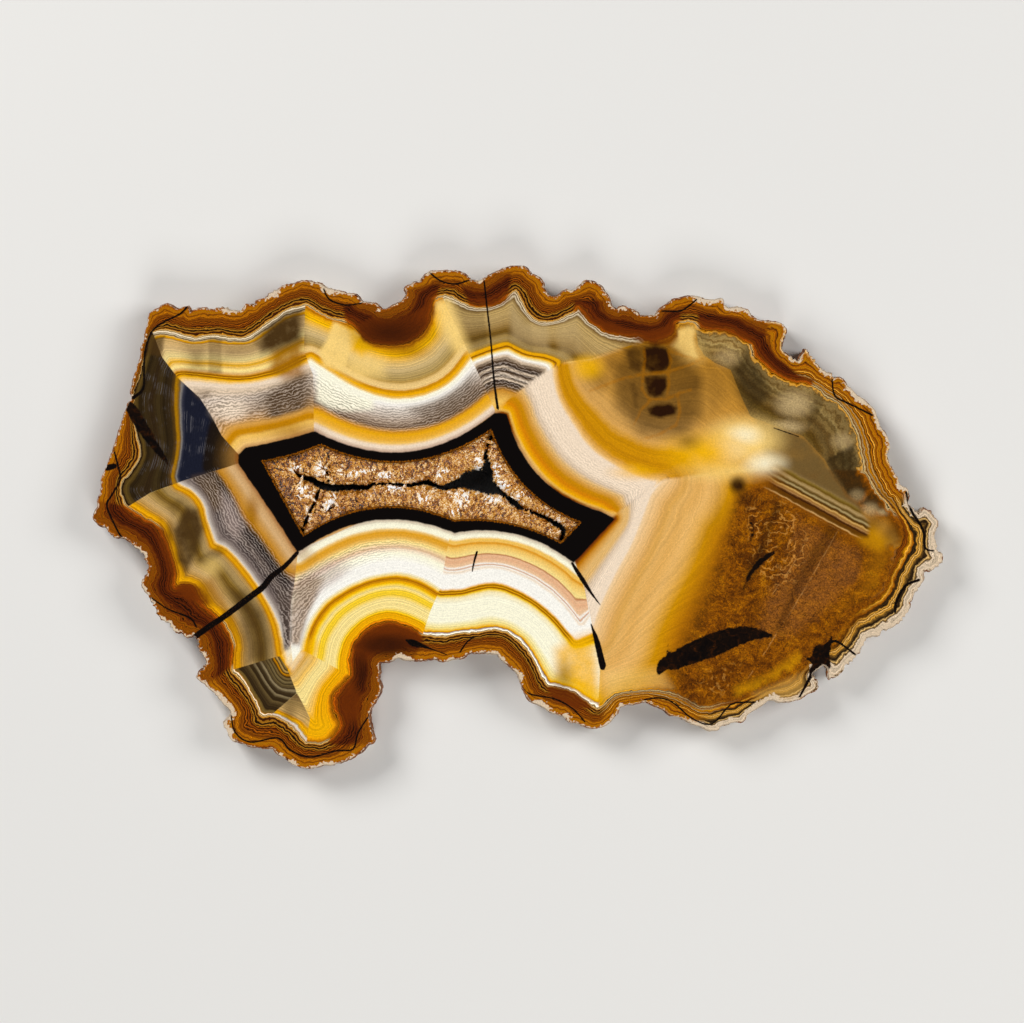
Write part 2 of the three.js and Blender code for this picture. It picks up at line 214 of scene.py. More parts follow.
# Colours
FRINGE = (214, 192, 164)
ORANGE = (188, 114, 20)
CARAMEL = (154, 86, 14)
BROWN = (116, 58, 8)
RUST = (80, 28, 2)
DARK = (30, 12, 2)
GOLD = (218, 158, 70)
WHITE = (254, 250, 240)
PINK = (244, 222, 196)
CREAM = (251, 226, 150)
GLOW = (255, 250, 222)
BUTTER = (249, 208, 70)
YELLOW = (240, 170, 14)
OCHRE = (200, 132, 14)
STRAW = (244, 196, 104)
PEACH = (242, 198, 134)
SAND = (228, 184, 118)
HONEY = (216, 160, 82)
AMBER = (204, 142, 48)
OAT = (220, 196, 168)
TAN = (206, 168, 108)
CORK = (196, 150, 96)
SAGE = (168, 130, 64)
MOSS = (106, 76, 34)
OLIVE = (46, 31, 13)
SLATE = (98, 76, 54)
NAVY = (24, 26, 40)
SMOKE = (38, 15, 1)
GRAIN = (128, 71, 12)
BRASS = (186, 126, 48)
DUSK = (64, 50, 42)
BLACK = (6, 2, 1)

# The layers from the rim (0) to the black ring (130): rind to 30, tan to 75, white to 130
RINDS = {
    "layered": [
        (0, BROWN), (1.5, CARAMEL), (3.7, (194, 124, 28)), (5.5, (134, 70, 8)),
        (6.6, (158, 92, 14)), (8.5, (164, 96, 16)), (10, (140, 76, 10)), (11.2, (92, 42, 5)),
        (12.8, (146, 78, 8)), (14, (84, 36, 4)), (15.5, (136, 70, 10)), (16.8, BROWN),
        (18.2, RUST), (19, CARAMEL), (20, DARK), (21, BRASS), (21.8, DARK), (23.4, DARK),
        (24.4, BRASS), (25.4, RUST), (26.4, DARK), (27.6, BRASS), (28.8, (204, 172, 118)),
        (31, (208, 176, 124)),
    ],
    "rusty": [
        (0, CARAMEL), (2, BROWN), (3.6, CARAMEL), (5, BROWN), (6.5, CARAMEL), (8, RUST),
        (9.5, BROWN), (11, (100, 44, 4)), (13, RUST), (16, (62, 22, 1)), (19, RUST),
        (21, (96, 38, 3)),
        (23, RUST), (25, BROWN), (27, (150, 66, 3)), (28.5, CARAMEL), (31, OCHRE),
    ],
    "pale": [
        (0, MOSS), (1.5, FRINGE), (5, FRINGE), (6.5, MOSS), (7.6, TAN), (8.6, OLIVE),
        (10.2, OLIVE), (11.8, MOSS), (13.4, GOLD), (15, (180, 140, 80)), (16.4, GOLD),
        (17.6, MOSS), (19, OLIVE), (20.4, OLIVE), (21.6, CARAMEL), (23.4, GOLD), (24.6, OCHRE),
        (26, BROWN), (28.5, BROWN), (31, GRAIN),
    ],
    "golden": [
        (0, TAN), (2, CARAMEL), (4, (190, 124, 34)), (6, BROWN), (8, CARAMEL), (10, (190, 124, 40)),
        (11.5, BROWN), (13, CARAMEL), (15, (206, 146, 62)), (16.5, BROWN), (18, (176, 110, 30)),
        (19.5, (84, 40, 6)), (20.6, (206, 166, 104)), (21.6, BROWN), (23, OCHRE), (24, BROWN),
        (25, (216, 184, 124)), (26.2, BROWN), (27.2, MOSS), (28.2, (222, 196, 142)),
        (29.2, MOSS), (31, TAN),
    ],
}
RUSTY_AREAS = [
    [(343, 306), (372, 300), (395, 292), (428, 284), (440, 284), (436, 300), (434, 320),
     (424, 345), (395, 360), (356, 350), (346, 324)],
    [(574, 300), (640, 300), (681, 312), (676, 352), (600, 345), (574, 325)],
    [(698, 312), (770, 322), (762, 345), (700, 345)],
    [(752, 336), (764, 338), (776, 356), (798, 374), (814, 380), (808, 394), (780, 386),
     (754, 364)],
    [(484, 272), (512, 272), (506, 308), (470, 306), (462, 288)],
    [(96, 500), (126, 506), (150, 520), (196, 552), (214, 600), (240, 660), (200, 690),
     (80, 560)],
    [(345, 640), (380, 612), (414, 612), (422, 640), (410, 668), (380, 668), (376, 745),
     (330, 745), (326, 700)],
]
PALE_AREAS = [
    [(896, 500), (960, 480), (960, 760), (620, 760), (690, 725), (760, 680), (800, 640),
     (880, 590), (890, 560)],
]
GOLDEN_AREAS = [
    [(756, 300), (960, 300), (960, 512), (896, 506), (868, 480), (848, 420), (826, 400),
     (800, 384), (776, 356)],
    [(604, 676), (700, 676), (760, 690), (760, 740), (604, 740)],
]
SECTORS = {
    "upper_left": [
        (29.6, (214, 196, 166)), (30.6, (232, 216, 188)), (31.4, (150, 122, 80)),
        (32, (222, 204, 170)), (33, DARK), (34, TAN),
        (35.2, YELLOW), (36.4, OCHRE), (37.6, TAN), (46, (214, 180, 126)),
        (54, (236, 212, 144)), (57, STRAW), (59.5, (214, 158, 44)), (61, STRAW), (65, CREAM),
        (68, SAND), (70.5, OCHRE), (71.5, BROWN), (72.5, YELLOW), (73.5, BROWN), (75, YELLOW),
        (76.6, STRAW), (79, PINK), (84, OAT), (90, (206, 188, 170)), (100, (186, 160, 134)),
        (107, CORK), (112, HONEY), (116, OCHRE), (118.5, AMBER), (121, STRAW), (130, PEACH),
    ],
    "top_bump": [
        (31, ORANGE), (32.6, OCHRE), (34, YELLOW), (38, (250, 190, 50)), (41, (238, 184, 80)),
        (46, (222, 186, 118)), (51, (208, 180, 126)), (56, (184, 156, 100)), (60, (172, 142, 82)),
        (61.5, (196, 156, 84)), (64, (230, 194, 128)), (67.5, (244, 208, 140)), (69.4, OCHRE),
        (72.5, YELLOW), (75, STRAW), (77, GLOW), (82, (252, 246, 236)), (88, (236, 224, 210)),
        (93, (218, 202, 186)), (98, (188, 166, 146)), (102, (152, 128, 106)),
        (105, (120, 94, 72)), (107.5, CORK), (109.5, (210, 146, 54)), (113, (236, 172, 52)),
        (118, (236, 176, 72)), (121, STRAW), (124, PINK), (130, PINK),
    ],
    "top_middle": [
        (30, (226, 210, 184)), (31, MOSS), (32, (222, 204, 170)), (33.2, MOSS),
        (36, (190, 158, 100)), (42, (184, 154, 100)), (48, (172, 142, 90)),
        (53, (156, 124, 72)), (57, (128, 96, 44)),
        (60, (106, 76, 28)), (63, (152, 122, 68)), (67, (170, 142, 90)), (70.5, (164, 128, 60)),
        (72.5, YELLOW), (74.4, YELLOW), (75.6, BROWN), (77, YELLOW), (78.6, CREAM), (80.5, WHITE),
        (83, OAT), (86, SLATE), (90, DUSK), (92, OAT), (93.6, DUSK), (96, SLATE), (97.6, PINK),
        (99, DUSK), (101, OAT), (102.6, DUSK), (107, SLATE), (111, (200, 140, 60)), (120, STRAW),
    ],
    "right_arc": [
        (31, (176, 122, 44)), (45, (192, 138, 62)), (54, (198, 146, 72)), (60, (212, 162, 92)),
        (63.5, (216, 164, 92)), (65, (212, 156, 70)), (66.5, (200, 138, 34)),
        (69, (206, 142, 34)), (71, (196, 132, 24)), (73, (210, 148, 50)),
        (74.6, (228, 174, 96)), (76.5, PEACH),
        (79, PINK), (97, PINK), (102, OAT), (106, SAND), (109.5, HONEY), (113, AMBER),
        (116, OCHRE), (120, (216, 130, 8)), (124.5, YELLOW), (127.3, STRAW), (129, CARAMEL),
        (130, DARK),
    ],
    "cells": [
        (30, GOLD), (30.8, MOSS), (31.6, (190, 158, 98)), (32.4, MOSS), (33.4, (188, 158, 98)),
        (34.2, (96, 70, 30)), (35.2, (172, 140, 82)), (36.2, MOSS), (37.5, (142, 113, 64)),
        (39.2, (106, 75, 24)), (40.5, (118, 90, 38)), (42, (126, 98, 50)), (45, (122, 95, 50)),
        (50, (112, 85, 42)), (55, (98, 73, 34)),
    ],
    "right_side": [
        (31, HONEY), (72, PEACH), (76, PINK), (90, PINK), (97, OAT), (104, SAND), (111, SAND),
        (118, HONEY), (124, ORANGE), (128, BROWN), (130, DARK),
    ],
    "bottom": [
        (30, (218, 110, 8)), (32, YELLOW), (37, YELLOW), (39, BUTTER), (42, CREAM), (50, CREAM),
        (54, BUTTER), (58, BUTTER), (61, CREAM), (64, BUTTER), (66, YELLOW), (68, OCHRE),
        (69.3, (166, 96, 8)), (71, YELLOW), (73, CREAM), (76, WHITE), (86, WHITE), (95, GLOW),
        (99, (248, 226, 196)), (101.4, (222, 184, 146)), (103, (238, 206, 160)), (107, CREAM),
        (110, (240, 196, 112)), (113, (228, 168, 70)), (117, (226, 162, 58)),
        (119.5, (240, 196, 116)), (122, GLOW), (130, GLOW),
    ],
    "bottom_right": [
        (30, (250, 240, 220)), (31.2, WHITE), (32.4, BROWN), (33.4, YELLOW), (36, (250, 224, 134)),
        (40, (250, 238, 186)), (43, GLOW), (60, GLOW), (65, (250, 234, 188)), (67.5, BUTTER), (68.8, OCHRE),
        (69.5, BROWN), (70.6, YELLOW), (71.8, BROWN), (73, YELLOW), (75.4, WHITE), (88, WHITE),
        (91, PINK), (92.3, WHITE), (93.5, (206, 150, 110)), (94.6, WHITE), (96.5, (240, 200, 160)),
        (101, (232, 180, 140)), (103.5, (236, 190, 150)), (105, (186, 118, 76)), (106.2, CREAM),
        (114, STRAW), (117, (222, 150, 50)), (118.6, STRAW), (121, (244, 196, 100)),
        (123.5, GLOW), (130, GLOW),
    ],
    "lower_left": [
        (31, OCHRE), (33, YELLOW), (36, (206, 146, 46)), (40, (190, 148, 84)),
        (45, (202, 166, 110)), (51, (164, 132, 74)), (56, (112, 82, 32)), (59, (132, 102, 44)),
        (63, (160, 132, 82)), (67, (172, 142, 92)), (70, (186, 144, 78)), (72, OCHRE),
        (73.5, YELLOW), (75.5, OCHRE), (77, STRAW), (78.4, (220, 208, 194)),
        (81, (160, 146, 136)), (84, (118, 104, 98)), (88, (78, 66, 62)), (93, (106, 92, 84)),
        (98, (64, 52, 48)), (103, (44, 34, 30)), (106, (96, 70, 40)), (109, (176, 120, 42)),
        (112, (198, 140, 60)), (116, (202, 152, 86)), (121, (216, 176, 126)), (130, CORK),
    ],
    "left": [
        (31, DARK), (34, (92, 70, 30)), (38, (38, 26, 8)), (44, (54, 40, 18)), (50, OLIVE),
        (56, (60, 46, 22)), (62, (40, 28, 10)), (68, (52, 38, 18)), (72, (90, 62, 22)),
        (73.4, (170, 120, 30)), (75, (164, 114, 26)), (76.4, (110, 84, 40)),
        (77.6, (128, 122, 116)), (78.8, (56, 56, 68)), (80.5, NAVY), (97, NAVY),
        (100, (24, 16, 12)), (106, (30, 20, 10)), (112, (58, 40, 18)), (118, (100, 72, 36)),
        (124, (134, 96, 48)), (130, (150, 106, 56)),
    ],
    "toe": [
        (30, RUST), (31.5, (222, 138, 14)), (34, YELLOW), (40, YELLOW), (44, STRAW), (49, CREAM),
        (55, (248, 222, 146)), (60, STRAW), (65, (222, 184, 116)), (70, (216, 156, 52)),
        (73, YELLOW), (75, YELLOW), (77, WHITE), (130, WHITE),
    ],
    "heel": [
        (29, RUST), (30, CARAMEL), (31.4, WHITE), (32.4, SAGE), (34, YELLOW), (35.5, OCHRE),
        (37, TAN), (46, (152, 124, 76)), (51, (118, 91, 56)), (56, (78, 52, 22)),
        (60, (70, 44, 15)), (68, (100, 72, 42)), (72, (132, 96, 46)), (75, OCHRE),
    ],
    "leg": [
        (30, WHITE), (31, GOLD), (32, MOSS), (33.5, (116, 92, 46)), (35, OLIVE), (40, (66, 50, 26)),
        (43, (96, 78, 46)), (44, OLIVE), (47, (58, 44, 22)), (49, (144, 126, 92)), (50, OLIVE),
        (53, (62, 48, 26)), (55.5, (150, 132, 98)), (56.5, (54, 40, 20)), (59, (106, 88, 54)),
        (60.2, (48, 36, 16)), (62, (134, 114, 74)), (63.2, (46, 34, 14)), (65, (124, 100, 58)),
        (66.4, DARK), (68, OCHRE), (69.5, DARK), (71, (200, 160, 90)), (72.4, DARK),
        (74, (150, 120, 60)), (75.4, DARK), (77, WHITE), (130, WHITE),
    ],
}
# The right side's bands, in pixels from the yellow line
BEYOND_WIDTH = 110
BEYOND = [
    (0, (246, 212, 166)), (5, (240, 198, 142)), (10, (234, 188, 126)), (17, (222, 170, 98)),
    (22, (220, 168, 92)), (27, (228, 178, 106)), (36, (226, 174, 100)), (46, (234, 184, 112)),
    (54, (228, 176, 98)), (60, (218, 162, 72)), (66, (206, 146, 44)), (74, (198, 132, 26)),
    (82, (180, 112, 16)), (92, (156, 88, 8)), (110, GRAIN),
]
# The parallel stripes that run to the right end, in pixels below a slanting line
STRIPES_FROM = (773, 466.7)
STRIPES_SLANT = math.radians(28.2)
STRIPES_REACH = (-6, 30)
STRIPES = [
    (-6, (122, 100, 64)), (-4.5, (140, 114, 66)), (-3, (128, 103, 45)), (-1.7, (106, 80, 28)),
    (-0.8, (110, 82, 30)), (0.3, (156, 127, 78)), (2, (170, 142, 96)), (3.2, (136, 108, 62)),
    (4.3, (92, 68, 28)), (5.2, (100, 76, 36)), (6.2, (152, 130, 86)), (7, (174, 152, 106)),
    (8, (112, 88, 46)), (9, (66, 36, 4)), (10, (116, 78, 26)), (11, (208, 166, 100)),
    (12, (172, 128, 70)), (13, (146, 102, 52)), (14, (164, 122, 76)), (15, (98, 60, 26)),
    (16, (50, 20, 2)), (17.2, (94, 54, 8)), (19.8, (92, 56, 14)), (20.8, (118, 82, 38)),
    (21.8, (220, 176, 116)), (23, (140, 88, 24)), (24, BROWN), (25, (208, 160, 100)),
    (26.2, BROWN), (27.4, DARK), (29, CARAMEL), (30, GRAIN),
]
# The creases between the sectors, as outlines in pixels. upper_left lies below all the others.
SECTOR_AREAS = {
    "top_bump": [(306, 270), (304, 350), (308, 362), (313, 375), (314, 432), (400, 480),
                 (496, 412), (485, 388), (465, 345), (446, 305), (440, 290), (430, 260)],
    "top_middle": [(430, 260), (440, 290), (446, 305), (465, 345), (485, 388), (496, 412),
                   (506, 402), (520, 391), (535, 379), (550, 370), (565, 362), (590, 359), (617, 350),
                   (640, 342), (650, 330), (620, 260)],
    "right_arc": [(496, 412), (506, 402), (520, 391), (535, 379), (550, 370), (565, 362),
                  (590, 359),
                  (617, 350), (640, 342), (650, 330), (640, 250), (960, 250), (960, 470),
                  (764, 470), (664, 479), (618, 512), (601, 511), (560, 500)],
    "cells": [(694, 316), (760, 316), (860, 380), (960, 480), (920, 540), (886, 524), (866, 516),
              (859, 503), (847, 494.5), (834.7, 479), (825, 460), (803, 436), (773.5, 425.6),
              (750.5, 416.4), (741.3, 396.5), (730.6, 369.7), (715, 363), (704, 355),
              (698, 345), (696, 330)],
    "right_side": [(764, 470), (664, 479), (618, 512), (574, 560), (585, 590), (592, 625),
                   (600, 668), (597, 740), (960, 800), (960, 470)],
    "bottom": [(574, 560), (585, 590), (592, 625), (600, 668), (597, 740), (320, 790),
               (303, 738), (304, 710), (295, 685), (291, 645), (289.5, 638), (290.5, 606),
               (294, 586), (298, 550),
               (400, 505), (480, 510)],
    "bottom_right": [(451, 528), (446, 556), (440, 589), (430, 612), (423, 634), (423, 680),
                     (560, 780), (597, 740), (600, 668), (592, 625), (585, 590), (574, 560),
                     (540, 500)],
    "lower_left": [(298, 550), (294, 586), (290.5, 606), (289.5, 638), (291, 645), (279, 657),
                   (235, 669), (190, 690),
                   (100, 560), (90, 515), (124, 509), (150, 493), (180, 482), (215, 471),
                   (240, 463), (285, 520)],
    "left": [(240, 463), (215, 471), (180, 482), (150, 493), (124, 509), (85, 515),
             (85, 440), (140, 290), (150, 325), (162, 357), (178, 378), (200, 398),
             (212, 417), (222, 436), (240, 456)],
    "toe": [(287, 670), (302, 649), (310, 654), (345, 673), (359, 681), (370, 700), (340, 790), (320, 790),
            (306, 745), (310, 718), (303, 704), (297, 693)],
    "heel": [(297, 693), (303, 704), (310, 718), (306, 745), (320, 790), (250, 780),
             (225, 740), (270, 716)],
    "leg": [(287, 668), (279, 656), (235, 669), (190, 690), (225, 740), (270, 716), (297, 693)],
}
SOFT_EDGES = {"right_arc": 4.0, "right_side": 2.0}

# Patches: kind, softness in pixels, strength, then either one ellipse (x, y, rx, ry) or an outline
PATCHES = [
    ("smoke", 5, 1.0, [(641, 346), (656, 343), (669, 348), (673, 356), (672, 368), (662, 375),
                       (650, 375), (641, 368)]),
    ("smoke", 6, 0.85, [(624, 350), (634, 344), (645, 348), (644, 374), (636, 377), (626, 370)]),
    ("smoke", 5, 1.0, [(641, 375), (656, 373), (669, 375), (669, 388), (663, 397), (655, 400),
                         (646, 396)]),
    ("smoke", 6, 0.6, [(669, 372), (690, 369), (694, 384), (684, 392), (670, 391)]),
    ("smoke", 7, 0.8, [(624, 379), (638, 377), (642, 392), (642, 412), (630, 410)]),
    ("smoke", 6, 1.0, [(645, 407), (654, 402), (672, 401), (681, 407), (677, 416), (660, 421),
                       (647, 417)]),
    ("smoke", 4, 0.4, [(646, 412), (680, 410), (676, 426), (660, 431), (645, 426)]),
    ("smoke", 10, 0.66, [(612, 362), (640, 343), (676, 348), (706, 376), (702, 415), (684, 438),
                       (640, 434), (616, 408)]),
    ("smoke", 10, 0.3, [(706, 362), (722, 368), (730, 392), (712, 414), (700, 390)]),
    ("smoke", 4, 0.5, (690, 396, 8, 6)),
    ("smoke", 6, 0.45, (686, 420, 9, 9)),
    ("smoke", 6, 0.3, (645, 431, 7, 8)),
    ("smoke", 7, 0.5, (688, 441, 11, 8)),
    ("smoke", 7, 0.45, (616, 364, 10, 9)),
    ("smoke", 9, 0.3, (600, 381, 13, 10)),
    ("smoke", 5, 0.95, (738, 485, 8, 8)),
    ("smoke", 6, 0.55, (745, 499, 7, 6)),
    ("smoke", 8, 0.5, (564, 676, 7, 12)),
    ("smoke", 5, 0.75, [(776, 500), (782, 508), (770, 530), (764, 560), (742, 592), (748, 566),
                        (762, 540)]),
    ("smoke", 4, 0.5, [(830, 520), (842, 530), (800, 590), (780, 634), (774, 630), (800, 570)]),
    ("smoke", 8, 0.5, (893, 534, 10, 10)),
    ("smoke", 7, 0.4, (873, 524, 10, 7)),
    ("rust", 1.6, 0.75, [(356, 326), (370, 318), (400, 320), (425, 306), (433, 296), (435, 312),
                         (428, 328), (414, 341), (397, 346), (377, 345), (363, 341)]),
    ("core", 14, 0.85, (392, 333, 30, 12)),
    ("rust", 2, 0.8, [(578, 308), (592, 318), (612, 322), (628, 330), (642, 332), (660, 328),
                      (676, 322), (678, 336), (671, 344), (655, 346), (640, 341), (628, 337),
                      (608, 333), (592, 322), (580, 313)]),
    ("rust", 3, 0.6, (669, 338, 9, 9)),
    ("rust", 1.6, 0.6, [(698, 320), (712, 322), (728, 328), (745, 332), (757, 337), (748, 340),
                        (730, 336), (712, 331), (700, 328)]),
    ("rust", 2, 0.7, [(476, 295), (490, 301), (504, 300), (513, 293), (506, 302), (492, 307),
                      (480, 303)]),
    ("rust", 2, 0.95, [(545, 687), (557, 686), (573, 691), (587, 701), (592, 708), (576, 709),
                       (556, 701)]),
    ("rust", 3, 0.9, [(174, 588), (182, 582), (192, 583), (202, 588), (209, 597), (212, 606),
                      (200, 604), (184, 598)]),
    ("core", 6, 0.85, (387, 645, 26, 10)),
    ("core", 7, 0.75, (361, 670, 7, 16)),
    ("rust", 4, 0.85, (351, 703, 10, 21)),
    ("rust", 4, 0.85, [(352, 646), (371, 628), (390, 622), (416, 630), (424, 640), (400, 650),
                       (376, 652), (362, 668)]),
    ("straw", 3, 0.75, [(678, 330), (689, 326), (697, 326), (694, 338), (696, 350), (700, 360),
                        (689, 359), (679, 351), (671, 345), (677, 338)]),
    ("straw", 2.5, 0.9, [(334, 321), (350, 330), (362, 333), (350, 354), (345, 374), (324, 366),
                          (319, 352), (327, 340)]),
    ("yellow", 5, 0.7, [(350, 329), (364, 335), (372, 346), (362, 356), (352, 350)]),
    ("straw", 9, 0.75, [(348, 354), (362, 350), (384, 360), (384, 376), (360, 380), (344, 374)]),
    ("straw", 8, 0.9, [(434, 300), (450, 300), (470, 352), (456, 352), (440, 330)]),
    ("glow", 4, 0.85, [(317, 369), (330, 374), (354, 390), (374, 400), (372, 409), (350, 411),
                       (330, 408), (317, 400)]),
    ("straw", 12, 0.95, (744, 440, 33, 20)),
    ("straw", 10, 0.8, (758, 460, 18, 9)),
    ("straw", 10, 0.4, (692, 352, 12, 10)),
    ("glow", 8, 0.6, (744, 436, 13, 8)),
    ("glow", 9, 0.7, (764, 463, 15, 8)),
    ("glow", 9, 0.5, (731, 450, 13, 9)),
    ("glow", 2.5, 0.5, [(287, 650), (294, 646), (305, 653), (293, 672), (286, 663)]),
    ("yellow", 14, 0.8, (706, 452, 34, 15)),
    ("straw", 10, 0.8, (728, 470, 34, 9)),
    ("yellow", 9, 0.85, [(556, 650), (572, 639), (592, 633), (597, 660), (600, 700), (590, 700),
                         (574, 690), (556, 680)]),
    ("yellow", 8, 0.7, (588, 368, 14, 11)),
    ("yellow", 6, 0.6, (634, 472, 18, 6)),
    ("yellow", 8, 0.45, (318, 728, 12, 9)),
    ("straw", 8, 0.35, [(606, 672), (660, 668), (672, 688), (640, 692), (606, 702)]),
    ("slate", 10, 1.0, [(262, 396), (296, 366), (310, 356), (311, 436), (268, 424)]),
    ("ochre", 9, 0.55, (292, 432, 22, 9)),
    ("pink", 7, 0.75, (230, 410, 15, 10)),
    ("slate", 14, 0.55, [(252, 396), (280, 388), (290, 416), (254, 412)]),
    ("slate", 5, 0.7, [(190, 380), (200, 380), (216, 388), (206, 400), (196, 394)]),
    ("slate", 14, 0.85, [(406, 408), (440, 392), (470, 372), (490, 393), (455, 420), (424, 426)]),
    ("slate", 12, 0.3, (392, 414, 34, 9)),
    ("ash", 4, 0.8, [(290, 612), (292, 592), (298, 582), (312, 576), (324, 578), (316, 596),
                     (308, 614), (303, 634), (300, 646), (290, 644)]),
    ("soot", 2.5, 1.0, [(284, 650), (283, 628), (279, 606), (276, 592), (291, 588),
                         (290.5, 606), (289.5, 638), (289, 650)]),
    ("lilac", 9, 0.6, [(289, 640), (290, 600), (296, 570), (330, 560), (350, 566), (336, 590),
                       (318, 612), (306, 636), (300, 648)]),
        ("slate", 6, 0.9, [(194, 478), (216, 474), (222, 490), (222, 508), (212, 512), (202, 494)]),
    ("ochre", 7, 0.85, [(272, 350), (284, 344), (302, 340), (304, 378), (286, 380), (270, 372)]),
    ("olive", 8, 0.95, [(254, 344), (266, 326), (284, 314), (303, 306), (303, 342), (280, 350),
                        (262, 354)]),
    ("olive", 2, 0.75, [(150, 337), (165, 336), (162, 357), (147, 354)]),
    ("olive", 1.5, 0.5, [(208, 338), (222, 338), (222, 374), (208, 374)]),
    ("olive", 10, 0.4, [(222, 345), (262, 342), (262, 352), (222, 362)]),
    ("olive", 12, 0.55, [(186, 345), (206, 345), (206, 372), (190, 372)]),
    ("olive", 5, 0.95, [(172, 530), (186, 506), (198, 510), (204, 528), (198, 552), (186, 574),
                        (177, 562)]),
    ("olive", 4, 0.6, (171, 533, 5, 12)),
    ("olive", 5, 0.5, (289, 712, 6, 9)),
    ("ochre", 6, 0.6, (408, 351, 17, 6)),
    ("yellow", 5, 0.6, (311, 648, 8, 9)),
    ("honey", 5, 0.5, (306, 556, 9, 7)),
    ("tawny", 6, 0.55, [(752, 694), (776, 684), (800, 674), (806, 688), (790, 698),
                        (766, 699)]),
    ("lighter", 5, 0.8, (788, 427, 14, 6)),
    ("olive", 4, 0.35, [(166, 508), (178, 498), (186, 502), (174, 520)]),
    ("rust", 4, 0.6, [(160, 520), (170, 536), (176, 560), (180, 576), (170, 572), (160, 545)]),
    ("ochre", 6, 0.7, [(198, 584), (212, 578), (222, 594), (228, 610), (212, 602)]),
    ("ochre", 5, 0.8, [(222, 606), (232, 612), (238, 640), (236, 668), (230, 650), (226, 626)]),
    ("straw", 7, 0.5, (212, 566, 9, 8)),
    ("lilac", 8, 0.6, [(222, 494), (232, 500), (244, 524), (236, 540), (224, 524)]),
    ("ochre", 5, 0.75, (252, 511, 6, 14)),
    ("olive", 8, 0.8, [(228, 590), (244, 592), (262, 612), (270, 640), (268, 660), (246, 664),
                       (243, 640), (237, 612)]),
    ("olive", 2, 0.5, [(196, 560), (218, 546), (226, 552), (206, 566)]),
    ("lighter", 5, 0.5, [(510, 300), (524, 324), (548, 326), (548, 350), (512, 340)]),
    ("dim", 1.5, 0.25, [(452, 305), (484, 312), (487, 344), (470, 350)]),
    ("dim", 1.5, 0.2, [(514, 300), (506, 344), (520, 348), (534, 352), (530, 322)]),
    ("lighter", 5, 0.35, [(556, 326), (576, 318), (584, 352), (560, 356)]),
    ("dim", 7, 0.4, [(697, 328), (706, 331), (708, 352), (700, 348)]),
    ("lighter", 6, 0.5, (727, 357, 11, 8)),
    ("dim", 1.0, 0.4, [(753.6, 340), (753, 350), (761, 364), (767, 373), (783, 384), (798, 388),
                       (813.3, 392), (804, 433.3), (801, 435.6), (773.5, 425.6), (750.5, 416.4),
                       (741.3, 396.5), (730.6, 369.7)]),
    ("dim", 10, 0.85, [(752, 340), (757, 358), (768, 376), (774, 394), (760, 410), (748, 410),
                       (739, 394), (730, 369)]),
    ("dim", 3, 0.5, [(752, 398), (770, 405), (803, 421), (803, 427), (776, 416), (752, 408)]),
    ("dim", 1.0, 0.6, [(813, 392), (828, 396), (816, 421), (804.5, 433.5)]),
    ("dim", 1.0, 0.42, [(828, 396), (847, 416), (858, 440), (825, 459.5), (804.5, 434),
                        (816, 421)]),
    ("dim", 8, 0.5, (818, 440, 12, 9)),
    ("dim", 1.3, 0.88, [(858, 440), (854.6, 447), (860, 467), (868.4, 488), (859, 502.5),
                        (847, 494.5), (834.7, 479), (825, 460)]),
    ("dim", 1.3, 0.9, [(876, 486), (861, 503.5), (887, 515), (881, 499)]),
    ("dim", 2, 0.5, [(891, 500), (888, 514), (904, 524), (900, 510)]),
    ("lighter", 8, 0.85, (794, 404, 15, 11)),
    ("lighter", 6, 0.55, (843, 441, 9, 7)),
    ("lighter", 4, 0.4, (857, 496, 7, 6)),
    ("lighter", 5, 0.7, (870, 510, 8, 6)),
    ("lighter", 2.5, 0.7, (882, 512, 6, 3)),
    ("grey", 4, 0.95, [(756, 419), (773.5, 425.6), (803, 436), (825, 460), (847, 494.5),
                       (860, 505), (866, 520), (845, 508), (812, 486), (785, 470), (762, 452)]),
    ("dim", 5, 0.3, [(774, 432), (800, 444), (824, 463), (820, 468), (796, 452), (772, 438)]),
    ("stripe", 2.5, 1.0, [(766, 458), (790, 470), (830, 491), (856, 506), (869, 523), (868, 538),
                          (852, 535), (820, 518), (790, 501), (764, 488)]),
    ("grain", 9, 1.0, [(738, 492), (758, 484), (795, 506), (850, 538), (896, 560), (890, 584),
                       (862, 616), (835, 645), (800, 676), (760, 694), (722, 704), (690, 704),
                       (672, 690), (668, 676), (682, 640), (704, 590), (722, 545)]),
    ("pinkish", 14, 0.5, [(790, 512), (862, 548), (866, 575), (830, 610), (790, 640),
                          (755, 640), (762, 600), (785, 560)]),
    ("worms", 8, 1.0, [(748, 498), (786, 504), (806, 525), (808, 550), (796, 580), (772, 588),
                       (748, 560)]),
    ("worms", 10, 0.7, [(700, 672), (740, 662), (742, 690), (700, 700)]),
    ("ochre", 14, 0.3, [(716, 500), (732, 500), (722, 560), (700, 620), (676, 680), (664, 676),
                        (686, 600)]),
    ("ochre", 12, 0.5, [(872, 548), (896, 556), (880, 605), (848, 640), (832, 630), (862, 590)]),
    ("amber", 7, 0.8, [(736, 688), (768, 676), (798, 654), (812, 656), (804, 672), (776, 690),
                       (740, 702)]),
    ("amber", 6, 0.6, [(852, 530), (874, 524), (890, 540), (880, 552), (862, 544)]),
    ("honey", 7, 0.9, [(862, 514), (886, 520), (906, 545), (898, 556), (872, 536)]),
]
